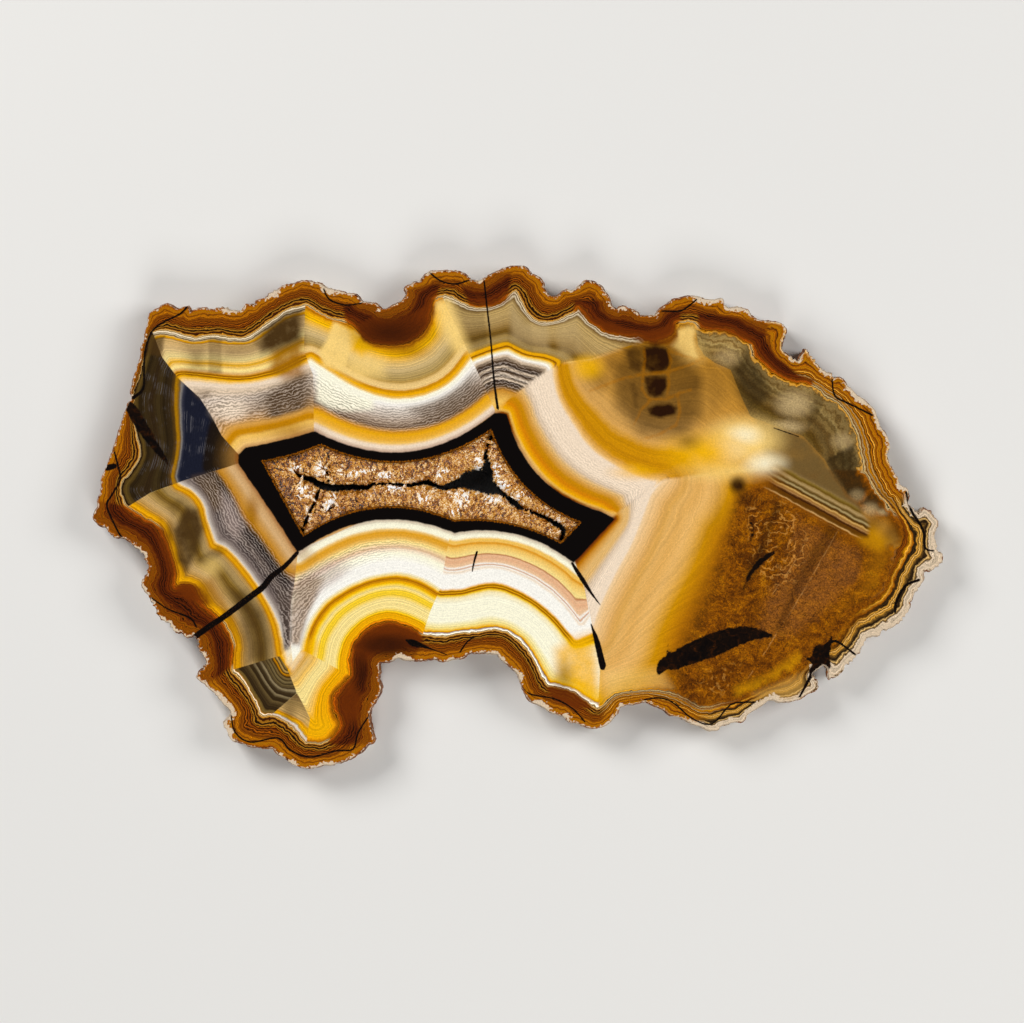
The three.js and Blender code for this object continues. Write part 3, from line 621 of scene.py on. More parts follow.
# Kinds that also show in the rind, and kinds that keep to the crinkled bands
RIND_KINDS = ("rust", "core", "tawny")
CRINKLED_KINDS = ("slate", "lilac")
KINDS = {
    "ochre": (158, 102, 14),
    "dim": (50, 36, 14),
    "lighter": (190, 164, 118),
    "grey": (112, 87, 48),
    "olive": (72, 50, 22),
    "slate": SLATE,
    "lilac": (190, 168, 158),
    "ash": (162, 136, 110),
    "soot": (88, 74, 66),
    "pink": PINK,
    "straw": (252, 214, 132),
    "glow": GLOW,
    "yellow": (248, 186, 40),
    "honey": (186, 134, 60),
    "amber": (208, 146, 34),
    "tawny": (206, 158, 84),
    "rust": (106, 44, 3),
    "core": (52, 18, 1),
}
# The thin pale walls between the smoky cells, and the nested squiggles of the grainy part
CELL_WALLS = [
    [(590, 391, 0.9), (610, 383, 0.9), (625, 378, 0.9), (643, 374, 1.1), (668, 372, 1.1),
     (689, 365, 0.9), (702, 359, 0.8)],
    [(668, 350, 0.7), (680, 355, 0.8), (698, 359, 0.7)],
    [(643, 374, 0.9), (642, 390, 0.8), (650, 400, 0.9), (667, 399, 1), (677, 394, 1),
     (691, 390, 0.8)],
    [(634, 424, 0.6), (641, 410, 0.8), (650, 401, 0.9)],
    [(678, 396, 0.8), (680, 412, 0.9), (676, 425, 0.9), (660, 434, 0.8), (640, 440, 0.6)],
    [(668, 350, 0.8), (671, 361, 0.8), (668, 372, 0.9), (669, 384, 0.8), (667, 399, 0.8)],
    [(644, 348, 0.6), (645, 360, 0.7), (643, 374, 0.8)],
]
PALE_LINES = [
    [(838, 530, 0.4), (807, 586, 0.5), (775, 636, 0.5), (746, 682, 0.4)],
    [(812, 532, 0.3), (792, 566, 0.4), (768, 600, 0.3)],
]
SWIRL = [(756, 520), (768, 510), (786, 510), (797, 520), (799, 536), (792, 546), (784, 552),
         (776, 548), (770, 556), (758, 556), (752, 540)]
# Where the rim has no whitish crust
BARE_AREAS = [
    [(80, 560), (80, 290), (186, 290), (186, 335), (150, 420), (130, 560)],
    [(374, 296), (404, 282), (414, 300), (384, 314)],
    [(370, 640), (390, 640), (390, 740), (356, 740)],
]
# Where the rim bristles with short spikes
SPIKY_AREAS = [
    [(100, 520), (150, 520), (215, 640), (215, 700), (160, 660)],
    [(776, 330), (830, 330), (840, 380), (790, 380)],
    [(200, 300), (300, 280), (300, 300), (200, 320)],
    [(880, 500), (960, 480), (950, 600), (820, 700), (800, 660)],
]

# Fractures and dark inclusions: a line in pixels with half widths
CRACKS = [
    [(196, 636, 3), (210, 626, 3), (225, 616, 3), (250, 597, 3.2), (263, 587, 3.2),
     (271, 577, 3), (285, 566, 2.4), (298, 552, 2)],
    [(484, 280, 0.8), (487, 307, 0.9), (489, 324, 0.9), (491, 343, 0.9), (494, 380, 1.1),
     (498, 410, 1.4)],
    [(572, 563, 1.2), (577, 571, 2), (584, 582, 2.2), (592, 594, 1.2), (601, 606, 0.4)],
    [(591, 624, 0.5), (597, 642, 2.8), (603, 667, 3.4)],
    [(477, 552, 1.2), (474, 562, 1), (472, 573, 0.5)],
    [(822, 650, 3), (835, 641, 1.4), (856, 655, 1)],
    [(813, 672, 2), (799, 698, 1)],
    [(639, 701, 0.8), (655, 698, 0.9), (665, 699, 0.9), (675, 704, 0.9), (690, 717, 0.9),
     (705, 724, 0.9), (715, 722, 0.9), (727, 708, 0.9), (735, 703, 0.9), (755, 702, 0.9)],
    [(919, 580, 1.4), (908, 584, 1.4), (901, 592, 1.6), (896, 603, 1.6), (895, 614, 1)],
    [(187, 307, 1.2), (180, 314, 1), (162, 323, 1), (151, 333, 1), (145, 352, 1), (144, 372, 1),
     (143, 389, 1.2), (133, 398, 2)],
    [(113, 447, 1), (118, 466, 1), (120, 480, 1), (110, 498, 1), (107, 507, 1), (120, 535, 1),
     (130, 544, 0.8)],
    [(107, 468, 3), (114, 466, 3)],
    [(150, 597, 0.8), (168, 609, 0.8), (190, 618, 1), (197, 628, 0.8)],
    [(231, 715, 0.8), (235, 732, 0.9), (250, 742, 0.9), (278, 738, 0.9), (290, 750, 0.9),
     (310, 757, 0.9), (335, 751, 0.9), (353, 749, 0.9), (358, 733, 0.9), (370, 714, 0.8)],
    [(521, 686, 0.8), (530, 694, 0.8), (555, 699, 0.8), (573, 709, 0.8), (585, 722, 0.8)],
    [(406, 640, 0.8), (413, 643, 3.6), (420, 645, 2.2), (434, 650, 0.6), (448, 655, 0.6)],
    [(460, 652, 0.8), (468, 641, 0.8), (477, 636, 0.6)],
    [(323, 287, 0.8), (329, 299, 0.9), (345, 305, 0.9), (363, 303, 0.7)],
    [(430, 273, 1), (441, 281, 0.9), (455, 284, 0.9), (470, 280, 0.8)],
    [(661, 311, 0.8), (680, 311, 0.9), (690, 305, 0.9), (697, 299, 0.8)],
    [(832, 379, 0.8), (835, 396, 1), (850, 404, 1), (874, 416, 1)],
    [(906, 492, 1), (911, 510, 1.4), (923, 530, 1.4), (925, 548, 1), (935, 551, 0.8)],
    [(774, 428, 0.5), (800, 437, 0.6)],
]
INCLUSIONS = [
    [(658, 675, 1), (664, 665, 6), (676, 660, 9), (692, 653, 10.5), (712, 645, 11.5),
     (735, 637, 9.5), (755, 634, 6), (774, 636, 0.5)],
    [(668, 645, 0.5), (668, 655, 2)],
    [(122, 403, 3), (130, 407, 5), (138, 420, 5.6), (148, 436, 5.2), (158, 450, 3.6),
     (169, 466, 0.8)],
    [(776, 551, 0.6), (768, 556, 2.6), (758, 564, 2.8), (750, 574, 2), (743, 590, 0.5)],
    [(750, 520, 0.6), (753, 532, 1.8), (748, 544, 0.6)],
    [(804, 656, 1), (812, 660, 3), (820, 650, 6), (822, 664, 9), (815, 672, 6)],
    [(832, 636, 0.6), (828, 648, 3), (822, 656, 4)],
]

rng = np.random.default_rng(SEED)


def px_scale():
    """Metres per pixel and the place of pixel (0, 0), from the front face's own vertices."""
    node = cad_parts["agate_slice"]
    points = np.array([v.co[:] for v in node.data.vertices])
    front = points[points[:, 2] > points[:, 2].max() - 1e-6]
    scale = np.ptp(front[:, 0]) / (RIM_RIGHT - RIM_LEFT)
    left = front[:, 0].min() - RIM_LEFT * scale
    top = front[:, 1].max() + RIM_TOP * scale
    return scale, left, top


PX, LEFT, TOP = px_scale()
FRONT = SLICE_BOX[1].z
BACK = SLICE_BOX[0].z


def to_world(px, z):
    """Pixel positions (n, 2) with heights (n,) as points in metres."""
    return np.column_stack([LEFT + px[:, 0] * PX, TOP - px[:, 1] * PX, z])


def bend(before, a, b, after, step):
    """Points from a to just before b on a curve that is led by its neighbours."""
    n = max(1, round(np.linalg.norm(b[:2] - a[:2]) / step))
    t = (np.arange(n) / n)[:, None]
    return (
        a
        + t * (b - before) / 2
        + t**2 * (before - 2.5 * a + 2 * b - after / 2)
        + t**3 * (1.5 * (a - b) + (after - before) / 2)
    )


def smooth(points, step=LOOP_STEP):
    """A closed curve through the points, with corners where the third number is 1."""
    xy = np.array([p[:2] for p in points], float)
    sharp = [len(p) > 2 for p in points]
    count = len(points)
    out = []
    for i in range(count):
        a, b = xy[i], xy[(i + 1) % count]
        before = a - (b - a) if sharp[i] else xy[i - 1]
        after = b + (b - a) if sharp[(i + 1) % count] else xy[(i + 2) % count]
        out.append(bend(before, a, b, after, step))
    return np.concatenate(out)


def arcs(corners, step=LOOP_STEP):
    """The closed outline of corners joined by arcs bowed inwards."""
    out = []
    for i, (x, y, bow) in enumerate(corners):
        start, end = np.array([x, y]), np.array(corners[(i + 1) % len(corners)][:2])
        side = end - start
        length = np.linalg.norm(side)
        inwards = np.array([-side[1], side[0]]) / length
        n = max(1, round(length / step))
        t = (np.arange(n) / n)[:, None]
        out.append(start + t * side + 4 * bow * t * (1 - t) * inwards)
    return np.concatenate(out)


def distance(points, line):
    """The distance of every point from a closed line of straight stretches."""
    x, y = np.ascontiguousarray(points[:, 0]), np.ascontiguousarray(points[:, 1])
    best = np.full(len(points), np.inf)
    line = np.asarray(line, float)
    for (ax, ay), (bx, by) in zip(line, np.roll(line, -1, axis=0)):
        sx, sy = bx - ax, by - ay
        ox, oy = x - ax, y - ay
        t = np.clip((ox * sx + oy * sy) / max(sx * sx + sy * sy, 1e-9), 0, 1)
        ox -= t * sx
        oy -= t * sy
        np.minimum(best, ox * ox + oy * oy, out=best)
    return np.sqrt(best)


def inside(points, outline):
    """Whether every point is inside the closed outline."""
    x, y = points[:, 0], points[:, 1]
    hit = np.zeros(len(points), bool)
    outline = np.asarray(outline, float)
    for a, b in zip(outline, np.roll(outline, -1, axis=0)):
        if a[1] == b[1]:
            continue
        crosses = (a[1] > y) != (b[1] > y)
        hit ^= crosses & (x < a[0] + (y - a[1]) * (b[0] - a[0]) / (b[1] - a[1]))
    return hit


def depth_in(points, outline):
    """How far every point is inside the outline, negative outside."""
    gap = distance(points, outline)
    return np.where(inside(points, outline), gap, -gap)


def close_to(points, shape, margin):
    """Which points are within the margin of the shape's box."""
    shape = np.asarray(shape, float)[:, :2]
    low, high = shape.min(axis=0) - margin, shape.max(axis=0) + margin
    return np.nonzero(np.all((points > low) & (points < high), axis=1))[0]


def area_depth(points, areas, margin=40.0):
    """How far every point is inside the deepest of the areas, down to minus the margin."""
    best = np.full(len(points), -margin)
    for area in areas:
        near = close_to(points, area, margin)
        best[near] = np.maximum(best[near], depth_in(points[near], area))
    return best


def curve(line, step=4.0):
    """An open line of (x, y, half width) with its bends rounded."""
    line = np.array(line, float)
    padded = np.vstack([2 * line[0] - line[1], line, 2 * line[-1] - line[-2]])
    quads = zip(padded[:-3], padded[1:-2], padded[2:-1], padded[3:])
    out = np.vstack([*(bend(*quad, step) for quad in quads), line[-1:]])
    out[:, 2] = np.maximum(out[:, 2], THINNEST)
    return out


def strip_depth(points, lines, margin=25.0):
    """How far every point is inside the nearest line of (x, y, half width), negative outside."""
    best = np.full(len(points), -margin)
    for line in lines:
        near = close_to(points, line, margin)
        around = points[near]
        deepest = best[near]
        for (ax, ay, aw), (bx, by, bw) in zip(line[:-1], line[1:]):
            sx, sy = bx - ax, by - ay
            ox, oy = around[:, 0] - ax, around[:, 1] - ay
            t = np.clip((ox * sx + oy * sy) / (sx * sx + sy * sy), 0, 1)
            gap = np.hypot(ox - t * sx, oy - t * sy)
            np.maximum(deepest, aw + (bw - aw) * t - gap, out=deepest)
        best[near] = deepest
    return best


def patch_amount(points, kind):
    """How strongly each point shows one kind of patch, from 0 to 1."""
    best = np.zeros(len(points))
    for name, soft, strength, shape in PATCHES:
        if name != kind:
            continue
        if isinstance(shape, tuple):
            x, y, rx, ry = shape
            away = np.hypot((points[:, 0] - x) / rx, (points[:, 1] - y) / ry)
            depth = (1 - away) * min(rx, ry)
        else:
            depth = area_depth(points, [shape], soft * 1.1)
        t = np.clip(0.5 + depth / (2 * soft), 0, 1)
        best = np.maximum(best, strength * t * t * (3 - 2 * t))
    return best


def fields(px):
    """The numbers that the stone's material reads, for every point."""
    wall = distance(px, RIM)
    near = wall < NEAR_RIM
    wall[near] = distance(px[near], rim_loop)
    rind = depth_in(px, smooth(RIND_EDGE, CONTOUR_STEP))
    white = depth_in(px, smooth(YELLOW_LINE, CONTOUR_STEP))
    ring = -depth_in(px, arcs(RING, ARC_STEP))
    outer = RIND_LAYERS * wall / (wall - rind + 1e-6)
    middle = RIND_LAYERS + TAN_LAYERS * rind / (rind - white + 1e-6)
    low_ring = np.minimum(ring, -strip_depth(px, [RING_RUNS_ON], 200.0))

    def layers(gap):
        share = white / (white + np.maximum(gap, 0) + 1e-6)
        inner = RIND_LAYERS + TAN_LAYERS + WHITE_LAYERS * share
        return np.where(rind < 0, outer, np.where(white < 0, middle, inner))

    made = {
        "layer": layers(ring),
        "low_layer": layers(low_ring),
        "wall": wall,
        "ring": ring,
        "from_white": -white,
        "hollow": depth_in(px, arcs(HOLLOW, ARC_STEP)),
        "crack": strip_depth(px, crack_lines),
        "inclusion": strip_depth(px, inclusion_lines),
    }
    for name, area in SECTOR_AREAS.items():
        made["in_" + name] = area_depth(px, [area])
    made["cell_wall"] = strip_depth(px, CELL_WALLS, 8.0)
    made["pale_line"] = strip_depth(px, PALE_LINES, 8.0)
    made["bare"] = area_depth(px, BARE_AREAS, 20.0)
    made["swirl"] = area_depth(px, [SWIRL], 70.0)
    below = px - np.array(STRIPES_FROM)
    made["below_slant"] = below @ (-math.sin(STRIPES_SLANT), math.cos(STRIPES_SLANT))
    made["along_slant"] = below @ (math.cos(STRIPES_SLANT), math.sin(STRIPES_SLANT))
    for kind in [*KINDS, "grain", "pinkish", "worms", "smoke", "stripe"]:
        made["is_" + kind] = patch_amount(px, kind)
    areas_of = {"rusty": RUSTY_AREAS, "golden": GOLDEN_AREAS, "pale": PALE_AREAS}
    for name, areas in areas_of.items():
        made["rind_" + name] = area_depth(px, areas)
    return made


def outward(loop):
    """The unit direction outwards at every point of a clockwise loop."""
    along = np.roll(loop, -1, axis=0) - np.roll(loop, 1, axis=0)
    along /= np.linalg.norm(along, axis=1)[:, None]
    return np.column_stack([along[:, 1], -along[:, 0]])


def in_box(loop, margin=0.0):
    """The loop clipped to the rim's box and a margin round it."""
    out = loop.copy()
    out[:, 0] = np.clip(out[:, 0], RIM_LEFT - margin, RIM_RIGHT + margin)
    out[:, 1] = np.clip(out[:, 1], RIM_TOP - margin, RIM_BOTTOM + margin)
    return out


def ragged(loop, size):
    """The loop with small uneven steps in and out, kept inside the rim's box."""
    count = len(loop)
    steps = rng.uniform(-1, 1, count)
    steps = steps * 0.6 + np.convolve(np.tile(steps, 3), np.ones(5) / 5, "same")[count : 2 * count]
    return in_box(loop + size * steps[:, None] * outward(loop))


def moved(loop, by):
    """The clockwise loop moved outwards by a number of pixels for each of its points."""
    return loop + np.reshape(by, (-1, 1)) * outward(loop)


crack_lines = [curve(line) for line in CRACKS]
inclusion_lines = [curve(line) for line in INCLUSIONS]
rim_loop = smooth(RIM)
spiky = np.clip(area_depth(rim_loop, SPIKY_AREAS) / 6, 0, 1)
rim_loop = ragged(rim_loop, (0.8 + 1.3 * spiky)[:, None])
hollow_loop = moved(arcs(HOLLOW), -CONTACT)
gap_lines = [curve(line, 2.0) for line in GAP_BRANCHES]


def crack_rows(step):
    """Points along every fracture: its middle, its edges and just outside them."""
    rows = []
    for line in crack_lines:
        for (ax, ay, aw), (bx, by, bw) in zip(line[:-1], line[1:]):
            a, b = np.array([ax, ay]), np.array([bx, by])
            length = np.linalg.norm(b - a)
            side = np.array([a[1] - b[1], b[0] - a[0]]) / length
            for t in np.arange(0, 1, step / length):
                middle, half = a + t * (b - a), aw + t * (bw - aw)
                rows += [middle + side * off for off in (0, half, -half, half + 1.4, -half - 1.4)]
    return np.array(rows)


def face_points(outline, hole, step, with_cracks):
    """Points over a sawn face, on an uneven grid with extra rows along the fractures."""
    xs = np.arange(RIM_LEFT, RIM_RIGHT, step)
    ys = np.arange(RIM_TOP, RIM_BOTTOM, step * 0.87)
    gx, gy = np.meshgrid(xs, ys)
    gx[1::2] += step / 2
    points = np.column_stack([gx.ravel(), gy.ravel()])
    points += rng.uniform(-0.2, 0.2, points.shape) * step
    if with_cracks:
        points = points[strip_depth(points, crack_lines) < -2.4]
        points = np.concatenate([points, crack_rows(2.0)])
    rim_depth = depth_in(points, RIM)
    near = np.abs(rim_depth) < NEAR_RIM
    rim_depth[near] = depth_in(points[near], outline)
    keep = (rim_depth > step * 0.55) & (depth_in(points, hole) < -step * 0.55)
    return points[keep]


def triangulate(points, outline, hole):
    """Triangles over a face. The outline's points come first, then the hole's, then the rest."""
    every = np.concatenate([outline, hole, points])
    n, m = len(outline), len(hole)
    edges = [(i, (i + 1) % n) for i in range(n)]
    edges += [(n + i, n + (i + 1) % m) for i in range(m)]
    co, _, faces, origin, _, _ = delaunay_2d_cdt([Vector(p) for p in every], edges, [], 0, 1e-6)
    co = np.array([c[:] for c in co])
    order = np.full(len(every), -1)
    for new, old in enumerate(origin):
        for k in old:
            order[k] = new
    faces = np.array([f for f in faces if len(f) == 3])
    middle = co[faces].mean(axis=1)
    keep = inside(middle, outline) & ~inside(middle, hole)
    return co, faces[keep], order[:n], order[n : n + m]


def add_mesh(name, points, faces, materials, slots=None):
    mesh = bpy.data.meshes.new(name)
    mesh.from_pydata(points.tolist(), [], faces)
    for material in materials:
        mesh.materials.append(material)
    if slots is not None:
        mesh.polygons.foreach_set("material_index", slots)
    piece = bpy.data.objects.new(name, mesh)
    bpy.context.collection.objects.link(piece)
    mesh.validate()
    return piece


def set_fields(piece, values):
    for name, numbers in values.items():
        layer = piece.data.attributes.new(name, "FLOAT", "POINT")
        layer.data.foreach_set("value", np.asarray(numbers, np.float32))


def wall_quads(upper, lower, turned=False):
    """Quads between two closed rows of points."""
    count = len(upper)
    quads = [
        (upper[i], upper[(i + 1) % count], lower[(i + 1) % count], lower[i])
        for i in range(count)
    ]
    return [q[::-1] for q in quads] if turned else quads


def make_slice():
    """The stone: two sawn faces, the uneven natural skin and the straight wall of the hollow."""
    depth = FRONT - BACK
    back_loop = moved(rim_loop, -2.0 + 0.5 * np.sin(np.arange(len(rim_loop)) * 0.37))
    front_co, front_faces, front_rim, front_hole = triangulate(
        face_points(rim_loop, hollow_loop, GRID_STEP, True), rim_loop, hollow_loop
    )
    back_co, back_faces, back_rim, back_hole = triangulate(
        face_points(back_loop, hollow_loop, BACK_STEP, False), back_loop, hollow_loop
    )
    points = [
        to_world(front_co, np.full(len(front_co), FRONT)),
        to_world(back_co, np.full(len(back_co), BACK)),
    ]
    flat = [front_co, back_co]
    faces = [tuple(f[::-1]) for f in front_faces.tolist()]
    faces += [tuple(f) for f in (back_faces + len(front_co)).tolist()]
    on_face = len(faces)
    total = len(front_co) + len(back_co)

    rows = [front_rim]
    for level in SKIN_LEVELS:
        bulge = 1.9 * math.sin(math.pi * min(1, level * 1.1)) - 2.2 * max(0, level - 0.5) ** 2 * 3
        rough = rng.uniform(-1, 1, len(rim_loop))
        rough = np.convolve(np.tile(rough, 3), [0.25, 0.5, 0.25], "same")[len(rough) : -len(rough)]
        row = in_box(moved(rim_loop, np.minimum(bulge + 1.6 * rough, 2.0)), SKIN_MARGIN)
        flat.append(row)
        points.append(to_world(row, np.full(len(row), FRONT - depth * level)))
        rows.append(np.arange(total, total + len(row)))
        total += len(row)
    rows.append(back_rim + len(front_co))
    for upper, lower in zip(rows[:-1], rows[1:]):
        faces += wall_quads(upper.tolist(), lower.tolist())
    skin_end = len(faces)
    faces += wall_quads(front_hole.tolist(), (back_hole + len(front_co)).tolist(), turned=True)

    slots = np.zeros(len(faces), np.int32)
    slots[on_face:skin_end] = 1
    piece = add_mesh(
        "agate_slice_stone",
        np.concatenate(points),
        faces,
        [banded_agate(), natural_skin()],
        slots,
    )
    set_fields(piece, fields(np.concatenate(flat)))
    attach(piece, "root")
    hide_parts("agate_slice")
    return piece


class Grains:
    """Random grains of quartz, each longer towards the gap and with a facet of its own."""

    def __init__(self, outline):
        low, high = outline.min(axis=0), outline.max(axis=0)
        spots = rng.uniform(low, high, (GRAINS * 3, 2))
        self.seeds = spots[inside(spots, outline)][:GRAINS]
        middles = np.concatenate([line[:, :2] for line in gap_lines])
        away = np.linalg.norm(self.seeds[:, None] - middles[None], axis=2)
        towards = middles[away.argmin(axis=1)] - self.seeds
        angle = np.arctan2(towards[:, 1], towards[:, 0]) + rng.normal(0, 0.35, len(self.seeds))
        self.along = np.column_stack([np.cos(angle), np.sin(angle)])
        self.slope = rng.uniform(-0.3, 0.3, self.seeds.shape)
        self.rise = rng.uniform(-0.06, 0.06, len(self.seeds)) * MM
        self.tone = rng.uniform(0, 1, len(self.seeds))
        self.tree = kdtree.KDTree(len(self.seeds))
        for i, (x, y) in enumerate(self.seeds):
            self.tree.insert((x, y, 0), i)
        self.tree.balance()

    def at(self, points):
        """The number of the grain that each point belongs to."""
        found = np.array([[i for _, i, _ in self.tree.find_n((x, y, 0), 9)] for x, y in points])
        off = points[:, None] - self.seeds[found]
        along = self.along[found]
        lengthwise = np.einsum("ijk,ijk->ij", off, along)
        across = off[..., 0] * along[..., 1] - off[..., 1] * along[..., 0]
        best = (np.hypot(lengthwise / 2.4, across)).argmin(axis=1)
        return found[np.arange(len(points)), best]

    def height(self, points, owner):
        """The height of each point on its grain's slanting facet."""
        off = points - self.seeds[owner]
        return self.rise[owner] + np.einsum("ij,ij->i", off, self.slope[owner]) * PX

    def gap_depth(self, points, owner):
        """How far every point is inside the gap, whose edge follows the grains."""
        return strip_depth(points, gap_lines) + self.rise[owner] / MM * GRAIN_EDGE


def whiteness_and_glow(points):
    """How bright the crystals are at each point, from 0 to 1: their pale colour with a painted glow of
    light shining through.
    """
    best = np.zeros(len(points))
    for x, y, rx, ry in WHITE_AND_GLOWING_CRYSTALS:
        away = np.hypot((points[:, 0] - x) / rx, (points[:, 1] - y) / ry)
        best = np.maximum(best, np.clip(1.25 - away, 0, 1))
    return best


def crystal(base, direction, length, radius, turn):
    """The points and faces of one six-sided crystal with a pointed end."""
    side = direction.cross(Vector((0, 0, 1))).normalized()
    up = side.cross(direction)
    ring = [
        (side * math.cos(turn + k * math.pi / 3) + up * math.sin(turn + k * math.pi / 3)) * radius
        for k in range(6)
    ]
    shoulder = base + direction * length * 0.62
    points = [base + r * 0.9 for r in ring] + [shoulder + r for r in ring]
    points += [base + direction * length, base]
    faces = []
    for k in range(6):
        after = (k + 1) % 6
        faces += [(k, after, 6 + after, 6 + k), (6 + k, 6 + after, 12), (after, k, 13)]
    return points, faces


def gap_crystals(outline):
    """Crystals on both sides of the gap, pointing into it: points, faces and tones."""
    spots = np.concatenate(gap_lines)
    x, y, half = spots[rng.integers(len(spots), size=CRYSTALS)].T
    angle = rng.uniform(0, 2 * math.pi, CRYSTALS)
    heading = angle + math.pi + rng.normal(0, 0.45, CRYSTALS)
    far = half + rng.uniform(1.0, 10.0, CRYSTALS)
    length = rng.uniform(4.0, 9.0, CRYSTALS)
    radius = rng.uniform(0.8, 1.9, CRYSTALS)
    pitch = rng.uniform(-0.35, 0.5, CRYSTALS)
    level = rng.uniform(0.2, 1.0, CRYSTALS)
    tone = rng.uniform(0, 1, CRYSTALS)
    turn = rng.uniform(0, 1, CRYSTALS)
    foot = np.column_stack([x + far * np.cos(angle), y + far * np.sin(angle)])
    towards = np.column_stack([np.cos(heading), np.sin(heading)]) * np.cos(pitch)[:, None]
    tip = foot + towards * length[:, None]
    gap = strip_depth(foot, gap_lines)
    reach = np.maximum(strip_depth(tip, gap_lines), strip_depth((foot + tip) / 2, gap_lines))
    kept = np.nonzero((depth_in(foot, outline) >= 4) & (gap <= -0.5) & (reach <= 0.3))[0]
    top = CRUST_BOX[1].z
    base = to_world(foot, top - (0.2 + 1.7 * (1 - level) ** 1.5 + radius * 0.12) * MM)
    # crystals set deeper (lower level) are painted darker, painted shade of the gap's depth; the brightest
    # spots add their pale colour and a painted glow of light shining through
    bright = 0.2 + 0.36 * level + 0.55 * whiteness_and_glow(foot) - 0.25 * np.maximum(0, -gap - 6) / 6
    points, faces, tones = [], [], []
    for i in kept:
        direction = Vector((towards[i, 0], -towards[i, 1], math.sin(pitch[i])))
        made, sides = crystal(Vector(base[i]), direction, length[i] * PX, radius[i] * PX, turn[i])
        start = len(points)
        points += [(v.x, v.y, min(v.z, top)) for v in made]
        faces += [tuple(start + k for k in side) for side in sides]
        tones += [bright[i] + 0.35 * (tone[i] - 0.5) + 0.1 * (k % 3) for k in range(len(sides))]
    return points, faces, tones


def make_crust():
    """The quartz crust in the hollow: grains from the wall inwards and a narrow gap, whose sunken floor is
    painted black as painted shade.
    """
    outline = moved(arcs(HOLLOW, 1.8), -CLEARANCE)
    grains = Grains(outline)
    low, high = outline.min(axis=0), outline.max(axis=0)
    gx, gy = np.meshgrid(
        np.arange(low[0], high[0], CRUST_STEP), np.arange(low[1], high[1], CRUST_STEP * 0.87)
    )
    gx[1::2] += CRUST_STEP / 2
    points = np.column_stack([gx.ravel(), gy.ravel()])
    points += rng.uniform(-0.25, 0.25, points.shape) * CRUST_STEP
    points = points[depth_in(points, outline) > CRUST_STEP * 0.6]
    no_hole = np.empty((0, 2))
    flat, tops, rim, _ = triangulate(points, outline, no_hole)
    owner = grains.at(flat)
    gap = grains.gap_depth(flat, owner)
    inner = np.clip((depth_in(flat, outline) - 0.3) / 2, 0, 1)
    relief = grains.height(flat, owner) * inner
    floor_drop = np.clip(gap / 1.6, 0, 1)
    drop = np.where(gap > 0, 1.3 + 1.8 * floor_drop, 1.2 * np.exp(np.minimum(gap, 0) / 3.0)) * MM
    top = CRUST_BOX[1].z - 0.1 * MM
    z_top = np.minimum(top - drop + relief * (1 - 0.5 * floor_drop), CRUST_BOX[1].z)
    under = CRUST_BOX[0].z + 0.06 * MM + np.clip(gap / 1.6, 0, 1) * 0.8 * MM
    z_under = np.maximum(under - relief, CRUST_BOX[0].z)
    count = len(flat)
    middle = flat[tops].mean(axis=1)
    owner = grains.at(middle)
    gap = grains.gap_depth(middle, owner)
    # grains near the gap and at the brightest spots are lighter: partly their pale colour, partly a painted
    # glow of light shining through the clear quartz
    near = np.exp(np.minimum(gap, 0) / 7.0)
    leftness = np.clip((420 - middle[:, 0]) / 120, 0, 1)
    tone = 0.18 + 0.46 * grains.tone[owner] + 0.16 * near - 0.11 * leftness
    tone += 0.6 * whiteness_and_glow(middle) * (0.2 + 0.8 * grains.tone[owner])
    # faces on the gap's floor take the black end of the ramp: painted shade for the open gap's depth
    tone = np.where(gap > 0.2, -1.0, tone)
    faces = [tuple(f[::-1]) for f in tops.tolist()]
    faces += [tuple(f) for f in (tops + count).tolist()]
    walls = wall_quads(rim.tolist(), (rim + count).tolist())
    tones = np.concatenate([tone, tone, np.full(len(walls), 0.4)])
    faces += walls
    body = np.concatenate([to_world(flat, z_top), to_world(flat, z_under)])
    more, sides, bright = gap_crystals(outline)
    faces += [tuple(i + len(body) for i in side) for side in sides]
    piece = add_mesh(
        "quartz_crust_crystals", np.concatenate([body, np.array(more)]), faces, [druse_quartz()]
    )
    layer = piece.data.attributes.new("tone", "FLOAT", "FACE")
    layer.data.foreach_set("value", np.concatenate([tones, bright]).astype(np.float32))
    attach(piece, "root")
    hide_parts("quartz_crust")
    return piece


def linear(colour):
    """An sRGB colour out of 255 as linear numbers."""
    out = []
    for c in colour:
        c /= 255
        out.append(c / 12.92 if c <= 0.04045 else ((c + 0.055) / 1.055) ** 2.4)
    return (*out, 1)


